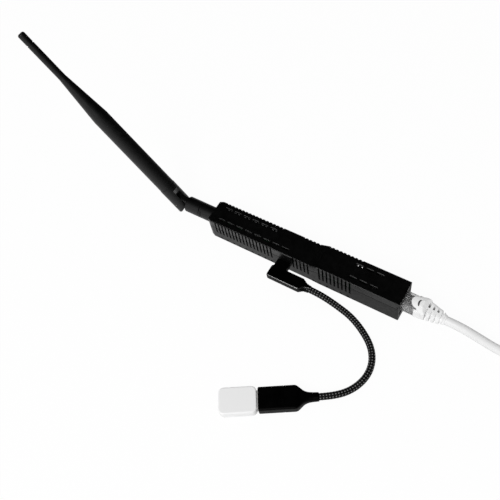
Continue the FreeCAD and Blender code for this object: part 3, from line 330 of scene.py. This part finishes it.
def seenDirectly(tree, kinds):  # one where a ray of any of these kinds looks
    rays = tree.nodes.new("ShaderNodeLightPath")
    total = rays.outputs[kinds[0]]
    for kind in kinds[1:]:
        larger = tree.nodes.new("ShaderNodeMath")
        larger.operation = "MAXIMUM"
        tree.links.new(total, larger.inputs[0])
        tree.links.new(rays.outputs[kind], larger.inputs[1])
        total = larger.outputs["Value"]
    return total


def product(tree, first, second):
    times = tree.nodes.new("ShaderNodeMath")
    times.operation = "MULTIPLY"
    tree.links.new(first, times.inputs[0])
    tree.links.new(second, times.inputs[1])
    return times.outputs["Value"]


def axes(tree, kind):  # X, Y and Z of the floor's or the sky's coordinates
    coordinates = tree.nodes.new("ShaderNodeTexCoord")
    parts = tree.nodes.new("ShaderNodeSeparateXYZ")
    tree.links.new(coordinates.outputs[kind], parts.inputs["Vector"])
    return parts.outputs


def makeFloor():  # white to the camera, and darker behind and to the right in gloss
    bpy.ops.mesh.primitive_plane_add(size=studio["floorSize"], location=(0, 0, studio["floorHeight"]))
    floor = nameActive("floor")
    finish, tree, shader = newFinish("floor_white", 0.9, 0.0)
    shader.inputs["Base Color"].default_value = linear(studio["floorGrey"])
    glow = tree.nodes.new("ShaderNodeEmission")
    place = axes(tree, "Object")
    shaded = product(tree, fade(tree, place["Y"], *studio["floorBehind"]),
                     fade(tree, place["X"], *studio["floorRight"]))
    level = tree.nodes.new("ShaderNodeMix")
    level.inputs["A"].default_value = 1.0
    tree.links.new(seenDirectly(tree, ("Is Glossy Ray",)), level.inputs["Factor"])
    tree.links.new(shaded, level.inputs["B"])
    tree.links.new(level.outputs["Result"], glow.inputs["Strength"])
    mix = tree.nodes.new("ShaderNodeMixShader")
    share = tree.nodes.new("ShaderNodeMath")
    share.operation = "MULTIPLY"
    share.inputs[1].default_value = studio["floorGlow"]
    seen = seenDirectly(tree, ("Is Camera Ray", "Is Glossy Ray", "Is Transmission Ray"))
    tree.links.new(seen, share.inputs[0])
    tree.links.new(share.outputs["Value"], mix.inputs["Fac"])
    tree.links.new(shader.outputs["BSDF"], mix.inputs[1])
    tree.links.new(glow.outputs["Emission"], mix.inputs[2])
    tree.links.new(mix.outputs["Shader"], tree.nodes["Material Output"].inputs["Surface"])
    paint(floor, finish)


def makeWorld():  # white to the camera, and in gloss bright at the front's horizon alone
    world = bpy.data.worlds.new("studio")
    bpy.context.scene.world = world
    world.use_nodes = True
    world.cycles.sampling_method = "NONE"  # so each ray sees the sky that its kind is given
    tree = world.node_tree
    background = tree.nodes["Background"]
    background.inputs["Color"].default_value = (1, 1, 1, 1)
    heading = axes(tree, "Generated")
    sky = product(tree, fade(tree, heading["Z"], *studio["horizon"]),
                  fade(tree, heading["Y"], *studio["skyBehind"]))
    level = tree.nodes.new("ShaderNodeMix")
    level.inputs["A"].default_value = studio["ambient"]
    tree.links.new(seenDirectly(tree, ("Is Glossy Ray", "Is Transmission Ray")), level.inputs["Factor"])
    tree.links.new(sky, level.inputs["B"])
    final = tree.nodes.new("ShaderNodeMix")
    final.inputs["B"].default_value = 1.0
    tree.links.new(seenDirectly(tree, ("Is Camera Ray",)), final.inputs["Factor"])
    tree.links.new(level.outputs["Result"], final.inputs["A"])
    tree.links.new(final.outputs["Result"], background.inputs["Strength"])


def makeLamps():
    for number, (place, size, power) in enumerate(studio["lamps"]):
        bpy.ops.object.light_add(type="AREA", location=place)
        lamp = bpy.context.active_object
        lamp.name = "lamp_" + str(number)
        lamp.data.size = size
        lamp.data.energy = power
        aim = Vector(studio["lookAt"]) - Vector(place)
        lamp.rotation_euler = aim.to_track_quat("-Z", "Y").to_euler()


cameraSetup = {"place": (0.1415, -0.2051, 0.4322), "turn": (31.28, 7.147, 31.438), "lens": 50.16}


def makeCamera():
    bpy.ops.object.camera_add(location=cameraSetup["place"],
                              rotation=[math.radians(angle) for angle in cameraSetup["turn"]])
    camera = bpy.context.active_object
    camera.name = "photo_camera"
    camera.data.lens = cameraSetup["lens"]
    camera.data.clip_start = 0.01
    bpy.context.scene.camera = camera


deselectAll()
makeFloor()
makeWorld()
makeLamps()
makeCamera()
bpy.context.scene.view_settings.view_transform = "Standard"
print("studio ready")


# USB lead: a core and the braid that is woven round it

usbLead = {
    "diameter": 4.75, "coreDiameter": 3.8, "carriers": 8, "strandWidth": 1.35, "strandThickness": 0.5,
    "helixPitch": 15.6, "weave": 0.17, "station": 0.4, "sides": 8, "smoothness": 12,
    "paintedSheenByHand": {1: 1.0, -1: 0.1},  # a highlight painted on the strands of one hand
    "nylonDark": 3, "paintedSheenGrey": 150, "sheenFrom": 0.35, "sheenTo": 0.95}

usbRoute = [
    (0.0130, -0.02005, 0.0092), (0.0205, -0.02005, 0.0092), (0.0290, -0.0200, 0.0067),
    (0.0375, -0.0204, 0.0035), (0.0465, -0.0222, 0.0027), (0.0572, -0.0272, 0.0025),
    (0.0679, -0.0349, 0.0025), (0.0739, -0.0442, 0.0025), (0.0754, -0.0552, 0.0025),
    (0.0716, -0.0668, 0.0025), (0.0639, -0.0766, 0.0040), (0.05515, -0.0822, 0.0040)]


def newRoute(name, points, resolution):
    curve = bpy.data.curves.new(name, "CURVE")
    curve.dimensions = "3D"
    spline = curve.splines.new("NURBS")
    spline.points.add(len(points) - 1)
    for spot, point in zip(spline.points, points):
        spot.co = (*point, 1.0)
    spline.order_u = 3
    spline.use_endpoint_u = True
    curve.resolution_u = resolution
    route = bpy.data.objects.new(name, curve)
    bpy.context.scene.collection.objects.link(route)
    return route


def routeLine(route):  # the points of a route that has no thickness yet
    bpy.context.view_layer.update()
    line = bpy.data.meshes.new_from_object(route)
    points = [vert.co.copy() for vert in line.vertices]
    bpy.data.meshes.remove(line)
    return points


def evenPoints(points, step):  # the line in even steps, and its length
    lengths = [0.0]
    for before, after in zip(points, points[1:]):
        lengths.append(lengths[-1] + (after - before).length)
    count = max(2, round(lengths[-1] / step))
    spaced = []
    part = 0
    for number in range(count + 1):
        goal = lengths[-1] * number / count
        while part < len(points) - 2 and lengths[part + 1] < goal:
            part += 1
        span = max(lengths[part + 1] - lengths[part], 1e-9)
        spaced.append(points[part].lerp(points[part + 1], (goal - lengths[part]) / span))
    return spaced, lengths[-1]


def carriedFrames(points):  # tangent, side and up at each point, without twist
    frames = []
    up = Vector((0, 0, 1))
    for number, point in enumerate(points):
        before = points[max(number - 1, 0)]
        after = points[min(number + 1, len(points) - 1)]
        tangent = (after - before).normalized()
        side = tangent.cross(up).normalized()
        up = side.cross(tangent).normalized()
        frames.append((tangent, side, up))
    return frames


def addStrand(mesh, line, frames, hand, turn, step):  # one strand, over and under those of the other hand
    rings = []
    places = []
    crown = mesh.verts.layers.float["crown"]
    radius = usbLead["diameter"] / 2 - usbLead["strandThickness"] / 2 - usbLead["weave"]
    for number, (point, (tangent, side, up)) in enumerate(zip(line, frames)):
        travel = number * step / mm
        angle = hand * 2 * math.pi * travel / usbLead["helixPitch"] + turn
        phase = 2 * math.pi * usbLead["carriers"] * travel / usbLead["helixPitch"]
        lift = hand * usbLead["weave"] * math.cos(phase)
        outward = side * math.cos(angle) + up * math.sin(angle)
        # painted highlight: strands of this hand are paler where they cross over
        paintedShare = max(0.0, hand * math.cos(phase)) * usbLead["paintedSheenByHand"][hand]
        places.append((point + outward * (radius + lift) * mm, outward, paintedShare))
    for number, (place, outward, paintedShare) in enumerate(places):
        before = places[max(number - 1, 0)][0]
        after = places[min(number + 1, len(places) - 1)][0]
        heading = (after - before).normalized()
        across = heading.cross(outward).normalized()
        ring = []
        for corner in range(usbLead["sides"]):
            bend = 2 * math.pi * corner / usbLead["sides"]
            reach = (outward * math.cos(bend) * usbLead["strandThickness"] +
                     across * math.sin(bend) * usbLead["strandWidth"]) / 2
            vert = mesh.verts.new(place + reach * mm)
            # the painted highlight is strongest on the strand's outer face
            vert[crown] = paintedShare * max(0.0, math.cos(bend)) ** 2
            ring.append(vert)
        rings.append(ring)
    for ring, following in zip(rings, rings[1:]):
        for corner in range(usbLead["sides"]):
            other = (corner + 1) % usbLead["sides"]
            mesh.faces.new((ring[corner], following[corner], following[other], ring[other]))
    mesh.faces.new(rings[0])
    mesh.faces.new(rings[-1][::-1])


def braidNylon():  # black nylon, with a highlight painted paler where a strand crosses over
    finish, tree, shader = newFinish("braid_nylon_painted_sheen", 0.5, 0.2)
    crown = tree.nodes.new("ShaderNodeAttribute")
    crown.attribute_name = "crown"
    addColour(tree, shader, crown.outputs["Fac"], usbLead["nylonDark"], usbLead["paintedSheenGrey"],
              usbLead["sheenFrom"], usbLead["sheenTo"])
    addBump(tree, shader, objectNoise(tree, 3000), 0.01)
    return finish


def makeBraid(points):
    line, length = evenPoints(points, usbLead["station"] * mm)
    frames = carriedFrames(line)
    step = length / (len(line) - 1)
    mesh = bmesh.new()
    mesh.verts.layers.float.new("crown")
    for hand in (-1, 1):
        for carrier in range(usbLead["carriers"]):
            addStrand(mesh, line, frames, hand, 2 * math.pi * carrier / usbLead["carriers"], step)
    bmesh.ops.recalc_face_normals(mesh, faces=mesh.faces)
    data = bpy.data.meshes.new("usb_cord_braid")
    mesh.to_mesh(data)
    mesh.free()
    braid = bpy.data.objects.new("usb_cord_braid", data)
    bpy.context.scene.collection.objects.link(braid)
    focusOn(braid)
    bpy.ops.object.shade_smooth()
    paint(braid, braidNylon())
    return braid, length


usbCore = newRoute("usb_cord_core", usbRoute, usbLead["smoothness"])
usbPoints = routeLine(usbCore)
usbBraid, usbLength = makeBraid(usbPoints)
usbCore.data.bevel_depth = usbLead["coreDiameter"] / 2 * mm
usbCore.data.bevel_resolution = 3
usbCore.data.use_fill_caps = True
paint(usbCore, mouldedPlastic("braid_core", 4, 6, 0.7, 0.2, 1500, 0.01))
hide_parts("usb_cord")
for piece in (usbCore, usbBraid):
    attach(piece, "root")
print("USB lead", round(usbLength, 4))


# Moulded plugs of the USB lead

anglePlug = {
    "middleY": -20.05, "middleZ": 9.2, "start": -17.7, "bodyWidth": 9.4, "thickness": 5.6,
    "shoulder": 7.5, "end": 14.6, "exit": 5.5, "exitRoundness": 0.48, "corner": 0.65,
    "nose": ((0, 1.8, 1.2), (0.35, 0.7, 0.4), (1.1, 0, 0)),  # along, less width, less thickness
    "cone": ((0, 1.0, 1.0), (1.6, 0.85, 2.2), (3.4, 0.66, 3.2)),  # along, share of width, times corner
    "ribs": ((9.9, 7.2), (11.3, 6.1), (12.7, 5.8)), "ribWidth": 0.45, "ribDepth": 0.4, "ribRoundness": 0.4,
    "neckX": (-16.7, -6.7), "neckY": (-17.0, -9.65), "neckCorner": 0.1,
    "neckEnds": ((0, 2.0), (0.3, 0.7), (1.1, 0)),  # along from either end, less thickness
    "seamHeight": 10.35, "seamWidth": 0.3, "seamDepth": 0.3, "seamEnd": 8.5, "seamCorner": 0.05,
    "bevelFacing": 0.3, "bevelDrop": 1.1, "grain": 0.2, "softening": 2}

usbPlug = {
    "place": (22.44, -103.07, 0), "turn": 32.5, "width": 15.9, "thickness": 8.0, "middle": 4.0,
    "corner": 1.3, "noseLength": 0.45, "noseEase": 0.9, "block": 16.7, "seam": 0.3, "seamDepth": 0.25,
    "shoulder": 23.9, "neckLength": 14.9, "exit": 5.8, "exitRoundness": 0.46,
    "neck": ((0.07, 0.94, 0.95), (0.16, 0.77, 0.82), (0.26, 0.51, 0.64), (0.36, 0.28, 0.45),
             (0.46, 0.15, 0.3), (0.57, 0.07, 0.17), (0.75, 0.02, 0.06), (1.0, 0.0, 0.0)),
    "grain": 0.26, "softening": 5}


def soften(piece, grain, rounds):  # one skin over everything, with its edges eased
    addModifier(piece, "REMESH", mode="VOXEL", voxel_size=grain * mm)
    addModifier(piece, "SMOOTH", factor=0.5, iterations=rounds)
    focusOn(piece)
    bpy.ops.object.shade_smooth()


def smoothByAngle(piece):
    focusOn(piece)
    bpy.ops.object.shade_smooth_by_angle(angle=math.radians(creaseAngle))


def makeAnglePlug():
    shape = anglePlug
    y, z = shape["middleY"], shape["middleZ"]
    wide, thick, corner = shape["bodyWidth"], shape["thickness"], shape["corner"]
    sections = [(shape["start"] + along, y, z, wide - narrower, thick - thinner, corner)
                for along, narrower, thinner in shape["nose"]]
    sections += [(shape["shoulder"] + along, y, z, share * wide, thick, rounder * corner)
                 for along, share, rounder in shape["cone"]]
    size = shape["exit"]
    sections.append((shape["end"], y, z, size, size, shape["exitRoundness"] * size))
    body = bridgeSections("angle_plug_moulded", sections, 1, 1)
    x0, x1 = shape["neckX"]
    y0, y1 = shape["neckY"]
    ends = [(x0 + along, thinner) for along, thinner in shape["neckEnds"]]
    ends += [(x1 - along, thinner) for along, thinner in reversed(shape["neckEnds"])]
    neck = bridgeSections("neck", [(x, (y0 + y1) / 2, z, y1 - y0, thick - thinner, shape["neckCorner"])
                                   for x, thinner in ends], 2)
    mergeInto(body, [neck])
    soften(body, shape["grain"], shape["softening"])
    high, deep, start, end = shape["seamHeight"], shape["seamDepth"], shape["start"], shape["seamEnd"]
    seam = addBar("seam", (start - overcut, end),
                  (y, high, wide + 2 * overcut, shape["seamWidth"], shape["seamCorner"]), 1)
    cutWith(seam, addBar("seam_core", (start + deep, end + overcut),
                         (y, high, wide - 2 * deep, 2 * overcut, shape["seamCorner"]), 1))
    cutWith(body, seam)
    for x, size in shape["ribs"]:
        left, high = size - 2 * shape["ribDepth"], thick - 2 * shape["ribDepth"]
        cutWith(body, grooveRing(x, shape["ribWidth"], (y, z), wide + 2 * overcut,
                                 (left, high, shape["ribRoundness"] * high), 4))
    smoothByAngle(body)
    paint(body, finishes["grip"])
    body.data.materials.append(finishes["bevel"])
    ridge, facing = (z + thick / 2 - shape["bevelDrop"] * corner) * mm, shape["bevelFacing"]
    for face in body.data.polygons:  # the bevel along the near top edge is polished
        if face.center.z > ridge and face.normal.y < -facing and face.normal.z > facing:
            face.material_index = 1
    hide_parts("angle_plug")
    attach(body, "root")


def makeUsbPlug():
    shape = usbPlug
    wide, thick, corner, z = shape["width"], shape["thickness"], shape["corner"], shape["middle"]
    slim, exitCorner = shape["noseEase"], shape["exitRoundness"] * shape["exit"]
    sections = [(0, 0, z, wide - slim, thick - slim, corner)]
    sections += [(x, 0, z, wide, thick, corner) for x in (shape["noseLength"], shape["shoulder"])]
    for share, widthLeft, heightLeft in shape["neck"]:
        width = shape["exit"] + widthLeft * (wide - shape["exit"])
        height = shape["exit"] + heightLeft * (thick - shape["exit"])
        roundness = exitCorner + heightLeft * (corner - exitCorner)
        sections.append((shape["shoulder"] + share * shape["neckLength"], 0, z, width, height, roundness))
    plug = bridgeSections("usb_plug_moulded", sections, 6)
    soften(plug, shape["grain"], shape["softening"])
    less = 2 * shape["seamDepth"]
    cutWith(plug, grooveRing(shape["block"], shape["seam"], (0, z), wide + 2 * overcut,
                             (wide - less, thick - less, corner), 4))
    smoothByAngle(plug)
    placeAt(plug, [value * mm for value in shape["place"]], (0, 0, shape["turn"]))
    paint(plug, finishes["grip"])
    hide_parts("usb_plug_front", "usb_plug_boot")
    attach(plug, "root")
    return plug


makeAnglePlug()
usbGrip = makeUsbPlug()
print("USB plugs moulded")


# Network lead: from the boot to the coil, round it in two layers and on to the far plug

netLead = {
    "diameter": 6.0, "coilCentre": (175.0, 36.0), "outerRadius": 37.8, "innerRadius": 25.8,
    "pointsPerTurn": 14, "startAngle": -84.0, "lowHeight": 3.0, "highHeight": 9.2,
    "lowTurns": 2.0, "rampTurns": 0.35, "endTurns": 4.0, "smoothness": 10}

netStart = [
    (0.1037, 0.0, 0.01155), (0.1130, 0.0, 0.01155), (0.1240, -0.0002, 0.0089),
    (0.1370, -0.0005, 0.0052), (0.1495, -0.0002, 0.0032), (0.1620, -0.0006, 0.0030)]

netTail = [
    (0.1825, -0.0027, 0.0090), (0.1973, -0.0021, 0.0070), (0.2115, 0.0048, 0.0047),
    (0.2213, 0.0170, 0.0041), (0.22493, 0.03201, 0.00415), (0.2225, 0.0458, 0.00415)]


def coilPoints():
    points = []
    perTurn = netLead["pointsPerTurn"]
    widen = 1 / math.cos(math.pi / perTurn)  # the curve runs inside its control points
    swing = netLead["outerRadius"] - netLead["innerRadius"]
    rampEnd = netLead["lowTurns"] + netLead["rampTurns"]
    for number in range(int(netLead["endTurns"] * perTurn)):
        turns = number / perTurn
        if turns < netLead["lowTurns"]:
            radius = netLead["outerRadius"] - swing * turns / netLead["lowTurns"]
            height = netLead["lowHeight"]
        elif turns < rampEnd:
            share = (turns - netLead["lowTurns"]) / netLead["rampTurns"]
            radius = netLead["innerRadius"]
            height = netLead["lowHeight"] + share * (netLead["highHeight"] - netLead["lowHeight"])
        else:
            share = (turns - rampEnd) / (netLead["endTurns"] - rampEnd)
            radius = netLead["innerRadius"] + swing * share
            height = netLead["highHeight"]
        angle = math.radians(netLead["startAngle"]) + 2 * math.pi * turns
        points.append(((netLead["coilCentre"][0] + radius * widen * math.cos(angle)) * mm,
                       (netLead["coilCentre"][1] + radius * widen * math.sin(angle)) * mm, height * mm))
    return points


netCable = newRoute("network_lead", netStart + coilPoints() + netTail, netLead["smoothness"])
netPoints = routeLine(netCable)
netCable.data.bevel_depth = netLead["diameter"] / 2 * mm
netCable.data.bevel_resolution = 4
netCable.data.use_fill_caps = True
paint(netCable, finishes["cable"])
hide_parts("network_cable", "network_cable_coil", "network_cable_tail")
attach(netCable, "root")


# The strap round the coil

coilTie = {
    "x": (170.5, 179.5), "y": (59.1, 74.6), "top": 12.85, "thickness": 0.6, "corner": 3.0,
    "lapY": (61.0, 71.0), "lapRise": 0.55, "lapSink": 0.06, "lapInset": 0.4, "lapCorner": 0.2,
    "easing": 0.12, "easedAngle": 50}


def makeTie():  # a loop of strap with its end lapped over the top
    shape = coilTie
    (low, high), (near, far), (lapNear, lapFar) = shape["x"], shape["y"], shape["lapY"]
    thick, corner, top = shape["thickness"], shape["corner"], shape["top"]
    middle, wide = (near + far) / 2, far - near
    tie = addBar("coil_tie", (low, high), (middle, top / 2, wide, top, corner), 5)
    cutWith(tie, addBar("tie_inside", (low - overcut, high + overcut),
                        (middle, top / 2, wide - 2 * thick, top - 2 * thick, corner - thick), 5))
    rise, sink, inset = shape["lapRise"], shape["lapSink"], shape["lapInset"]
    lapOutline = ((lapNear + lapFar) / 2, top + (rise - sink) / 2, lapFar - lapNear, rise + sink)
    lap = addBar("tie_lap", (low + inset, high - inset), (*lapOutline, shape["lapCorner"]), 2)
    addModifier(tie, "BOOLEAN", operation="UNION", object=lap, solver="EXACT")
    bpy.data.objects.remove(lap)
    addModifier(tie, "BEVEL", width=shape["easing"] * mm, segments=2, limit_method="ANGLE",
                angle_limit=math.radians(shape["easedAngle"]))
    smoothByAngle(tie)
    paint(tie, mouldedPlastic("strap_nylon", 16, 24, 0.8, 0.2, 2400, 0.03))
    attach(tie, "root")
    return tie


netTie = makeTie()


# Moulded boots of the network plugs, in the plug's own frame with its nose at the origin

bootShape = {
    "start": 20.6, "length": 20.4, "middle": 4.15, "endWidth": 6.3, "endHeight": 6.3,
    "width": 12.7, "height": 9.6, "droopStart": 0.2, "droopPower": 1.5,
    "sections": ((0.0, 1.6, 1.0, 1.0), (0.2, 2.0, 1.0, 1.0), (0.4, 2.6, 0.88, 0.92), (0.7, 3.0, 0.55, 0.68),
                 (0.87, 3.4, 0.38, 0.48), (0.93, 3.3, 0.13, 0.18), (1.0, 3.1, 0.0, 0.0)),
    "hoodFront": 17.0, "hoodRadius": 4.2, "hoodFlare": ((23.0, 5.4), (25.4, 6.6), (27.4, 6.4), (28.8, 6.0)),
    "crownRadius": 9.5, "crownTop": 11.2, "crownSides": 160, "hoodThickness": 1.15, "arcSteps": 24,
    "archEnd": 24.0, "archLength": 8.0, "slope": ((24.9, 11.1), (28.8, 8.3)),
    "arm": ((23.0, 7.7), (28.0, 2.5)), "plateHalf": 8.0, "planHeight": 14.0,
    "padPlace": 25.6, "padRadius": 2.8, "padRise": 0.15, "padSides": 48, "padFront": 10.0, "padFoot": 5.0,
    "padMiddle": 8.0, "padLength": 8.0,
    "slotInner": 3.15, "slotOuter": 4.25, "slotFront": 22.7, "slotLength": 5.0, "slotSides": 40,
    "grooves": 4, "groovePitch": 3.15, "grooveEnd": 2.9, "grooveWidth": 1.35, "grooveDepth": 1.25,
    "grooveDeepening": 0.3, "grooveRoundness": 0.4, "blank": 16.0, "spineHalf": 1.1,
    "pocket": (0.3, 2.2, 1.6), "pocketCorner": 0.3,
    "latchRoom": ((20.0, 23.4), 5.2, (3.0, 12.0)),  # ends, half width, heights
    "plugRoom": ((10.0, 21.5), 5.73, (-0.02, 8.32)),
    "grain": 0.22, "softening": 4}


def bootDrop(share, droop):  # how far the boot hangs down at a share of its length
    start = bootShape["droopStart"]
    return max(0.0, (share - start) / (1 - start)) ** bootShape["droopPower"] * droop


def bootSize(share):  # width, height and corner of the boot at a share of its length
    rows = bootShape["sections"]
    after = next(number for number, row in enumerate(rows) if number and share <= row[0] + 0.0001)
    before, after = rows[after - 1], rows[after]
    part = (share - before[0]) / (after[0] - before[0])
    corner, widthLeft, heightLeft = [old + part * (new - old) for old, new in zip(before[1:], after[1:])]
    return (bootShape["endWidth"] + widthLeft * (bootShape["width"] - bootShape["endWidth"]),
            bootShape["endHeight"] + heightLeft * (bootShape["height"] - bootShape["endHeight"]), corner)


def bootSleeve(name, droop):
    sections = []
    for share in [row[0] for row in bootShape["sections"]]:
        place = bootShape["start"] + share * bootShape["length"]
        sections.append((place, 0, bootShape["middle"] - bootDrop(share, droop), *bootSize(share)))
    return bridgeSections(name, sections, 6, 2)


def sidePlate(name, profile):  # a plate across the boot from its outline seen from the side
    half = bootShape["plateHalf"]
    return outlinePlate(name, [(x, -half, z) for x, z in profile], (0, 2 * half, 0))


def boxCutter(name, ends, half, heights):  # as wide on both sides of the middle
    (start, end), (low, high) = ends, heights
    corners = [(start, -half, low), (start, half, low), (start, half, high), (start, -half, high)]
    return outlinePlate(name, corners, (end - start, 0, 0))


def bootHood():  # a crowned hood over the latch, with arms down both sides
    shape = bootShape
    front, end = shape["hoodFront"], shape["hoodFlare"][-1][0]
    radius, sides = shape["crownRadius"], shape["crownSides"]
    axis = shape["crownTop"] - radius
    hood = addRod("hood", radius, end - front, ((front + end) / 2, 0, axis), sides, (0, 90, 0))
    archMiddle = shape["archEnd"] - shape["archLength"] / 2
    cutWith(hood, addRod("arch", radius - shape["hoodThickness"], shape["archLength"],
                         (archMiddle, 0, axis), sides, (0, 90, 0)))
    radius, steps = shape["hoodRadius"], shape["arcSteps"]
    outline = [(x, y, 0) for x, y in reversed(shape["hoodFlare"])]
    for number in range(steps + 1):  # the round front
        angle = math.radians(90 + 180 * number / steps)
        outline.append((front + radius + radius * math.cos(angle), radius * math.sin(angle), 0))
    outline += [(x, -y, 0) for x, y in shape["hoodFlare"]]
    keepInside(hood, outlinePlate("plan", outline, (0, 0, shape["planHeight"])))
    (slopeX, slopeZ), (footX, footZ) = shape["slope"]
    (bendX, bendZ), (armX, armZ) = shape["arm"]
    profile = [(front - overcut, bendZ), (front - overcut, slopeZ + overcut),
               (slopeX - overcut, slopeZ + overcut), (slopeX, slopeZ), (footX, footZ), (footX, armZ),
               (armX, armZ), (bendX, bendZ)]
    keepInside(hood, sidePlate("profile", profile))
    return hood


def bootPad():
    shape = bootShape
    (slopeX, slopeZ), (footX, footZ) = shape["slope"]
    front, foot, rise = shape["padFront"], shape["padFoot"], shape["padRise"]
    place = (shape["padPlace"], 0, shape["padMiddle"])
    pad = addRod("pad", shape["padRadius"], shape["padLength"], place, shape["padSides"])
    profile = [(front, foot), (front, slopeZ + rise), (slopeX, slopeZ + rise), (footX, footZ + rise),
               (footX, foot)]
    keepInside(pad, sidePlate("pad_profile", profile))
    return pad


def crescentCutter():
    shape = bootShape
    place = (shape["padPlace"], 0, shape["crownTop"])
    length, sides = shape["slotLength"], shape["slotSides"]
    cutter = addRod("crescent", shape["slotOuter"], length, place, sides)
    cutWith(cutter, addRod("crescent_core", shape["slotInner"], length + 2 * overcut, place, sides))
    focusOn(cutter)
    bpy.ops.object.mode_set(mode="EDIT")
    bpy.ops.mesh.select_all(action="SELECT")
    bpy.ops.mesh.bisect(plane_co=(shape["slotFront"] * mm, 0, 0), plane_no=(1, 0, 0), clear_outer=True,
                        use_fill=True)
    bpy.ops.object.mode_set(mode="OBJECT")
    return cutter


def grooveCutter(number, droop):  # a slot in the near side and a pocket beyond the spine
    shape = bootShape
    x = shape["start"] + shape["length"] - shape["grooveEnd"] - number * shape["groovePitch"]
    share = (x - shape["start"]) / shape["length"]
    z = shape["middle"] - bootDrop(share, droop)
    depth = shape["grooveDepth"] + number * shape["grooveDeepening"]
    width, height = [size - 2 * depth for size in bootSize(share)[:2]]
    blank, half = shape["blank"], shape["grooveWidth"] / 2
    core = (width, height, shape["grooveRoundness"] * height)
    outer = grooveRing(x, shape["grooveWidth"], (0, z), blank, core, 6)
    if number == 0:  # the last slot runs all round
        return [outer]
    beyond = blank + 2 * overcut
    farSide = addBar("far_side", (x - half - overcut, x + half + overcut),
                     (beyond / 2 - shape["spineHalf"], z, beyond, beyond, blankCorner), 1)
    cutWith(outer, farSide)  # the spine and the far side stay whole
    inner, wall, foot = shape["pocket"]
    reach = bootSize(share)[0] / 2 - wall - inner
    pocket = addBar("pocket", (x - half, x + half),
                    (inner + reach / 2, z - foot + blank / 2, reach, blank, shape["pocketCorner"]), 3)
    return [outer, pocket]


def makeBoot(name, node, droop):
    shape = bootShape
    boot = bootSleeve(name, droop)
    cutWith(boot, boxCutter("latch_room", *shape["latchRoom"]))
    hood = bootHood()
    cutWith(hood, crescentCutter())
    mergeInto(boot, [hood, bootPad()])
    soften(boot, shape["grain"], shape["softening"])
    slots = [cutter for number in range(shape["grooves"]) for cutter in grooveCutter(number, droop)]
    mergeInto(slots[0], slots[1:])
    cutWith(boot, slots[0])
    cutWith(boot, boxCutter("plug_room", *shape["plugRoom"]))
    smoothByAngle(boot)
    paint(boot, finishes["boot"])
    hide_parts(node)
    return boot


plugInsert = {  # x, z, width, height and corner of each section
    "sections": ((8.6, 4.3, 8.4, 4.6, 0.6), (9.2, 4.3, 8.8, 5.2, 0.8), (17.6, 4.3, 8.8, 5.6, 0.8),
                 (18.4, 4.2, 8.0, 5.6, 2.4), (22.6, 4.15, 6.0, 5.9, 2.9))}


def makeInsert(name):  # what shows inside the clear plug: the end of the jacket in a grey holder
    return bridgeSections(name, [(x, 0, *outline) for x, *outline in plugInsert["sections"]], 6)


# The two boots in their places

leadEnds = {"nearDroop": 1.9, "farDroop": 0.7, "farTurn": 280.0}

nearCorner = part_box("network_plug")[0]
nearPlace = (nearCorner.x, 0, nearCorner.z)
nearBoot = makeBoot("network_boot_moulded", "network_boot", leadEnds["nearDroop"])
nearInsert = makeInsert("network_plug_insert")

farBoot = makeBoot("far_boot_moulded", "far_boot", leadEnds["farDroop"])
farInsert = makeInsert("far_plug_insert")
farReach = bootShape["start"] + bootShape["length"]
farAngle = math.radians(leadEnds["farTurn"])
farExit = Vector((farReach * math.cos(farAngle), farReach * math.sin(farAngle),
                  bootShape["middle"] - leadEnds["farDroop"]))
farPlace = Vector(netTail[-1]) - farExit * mm

for piece in (nearBoot, nearInsert):
    placeAt(piece, nearPlace)
for piece in (farBoot, farInsert):
    placeAt(piece, farPlace, (0, 0, leadEnds["farTurn"]))
for piece in (nearInsert, farInsert):
    paint(piece, finishes["insert"])
for piece in (nearBoot, nearInsert, farBoot, farInsert):
    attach(piece, "root")
print("boots ready")
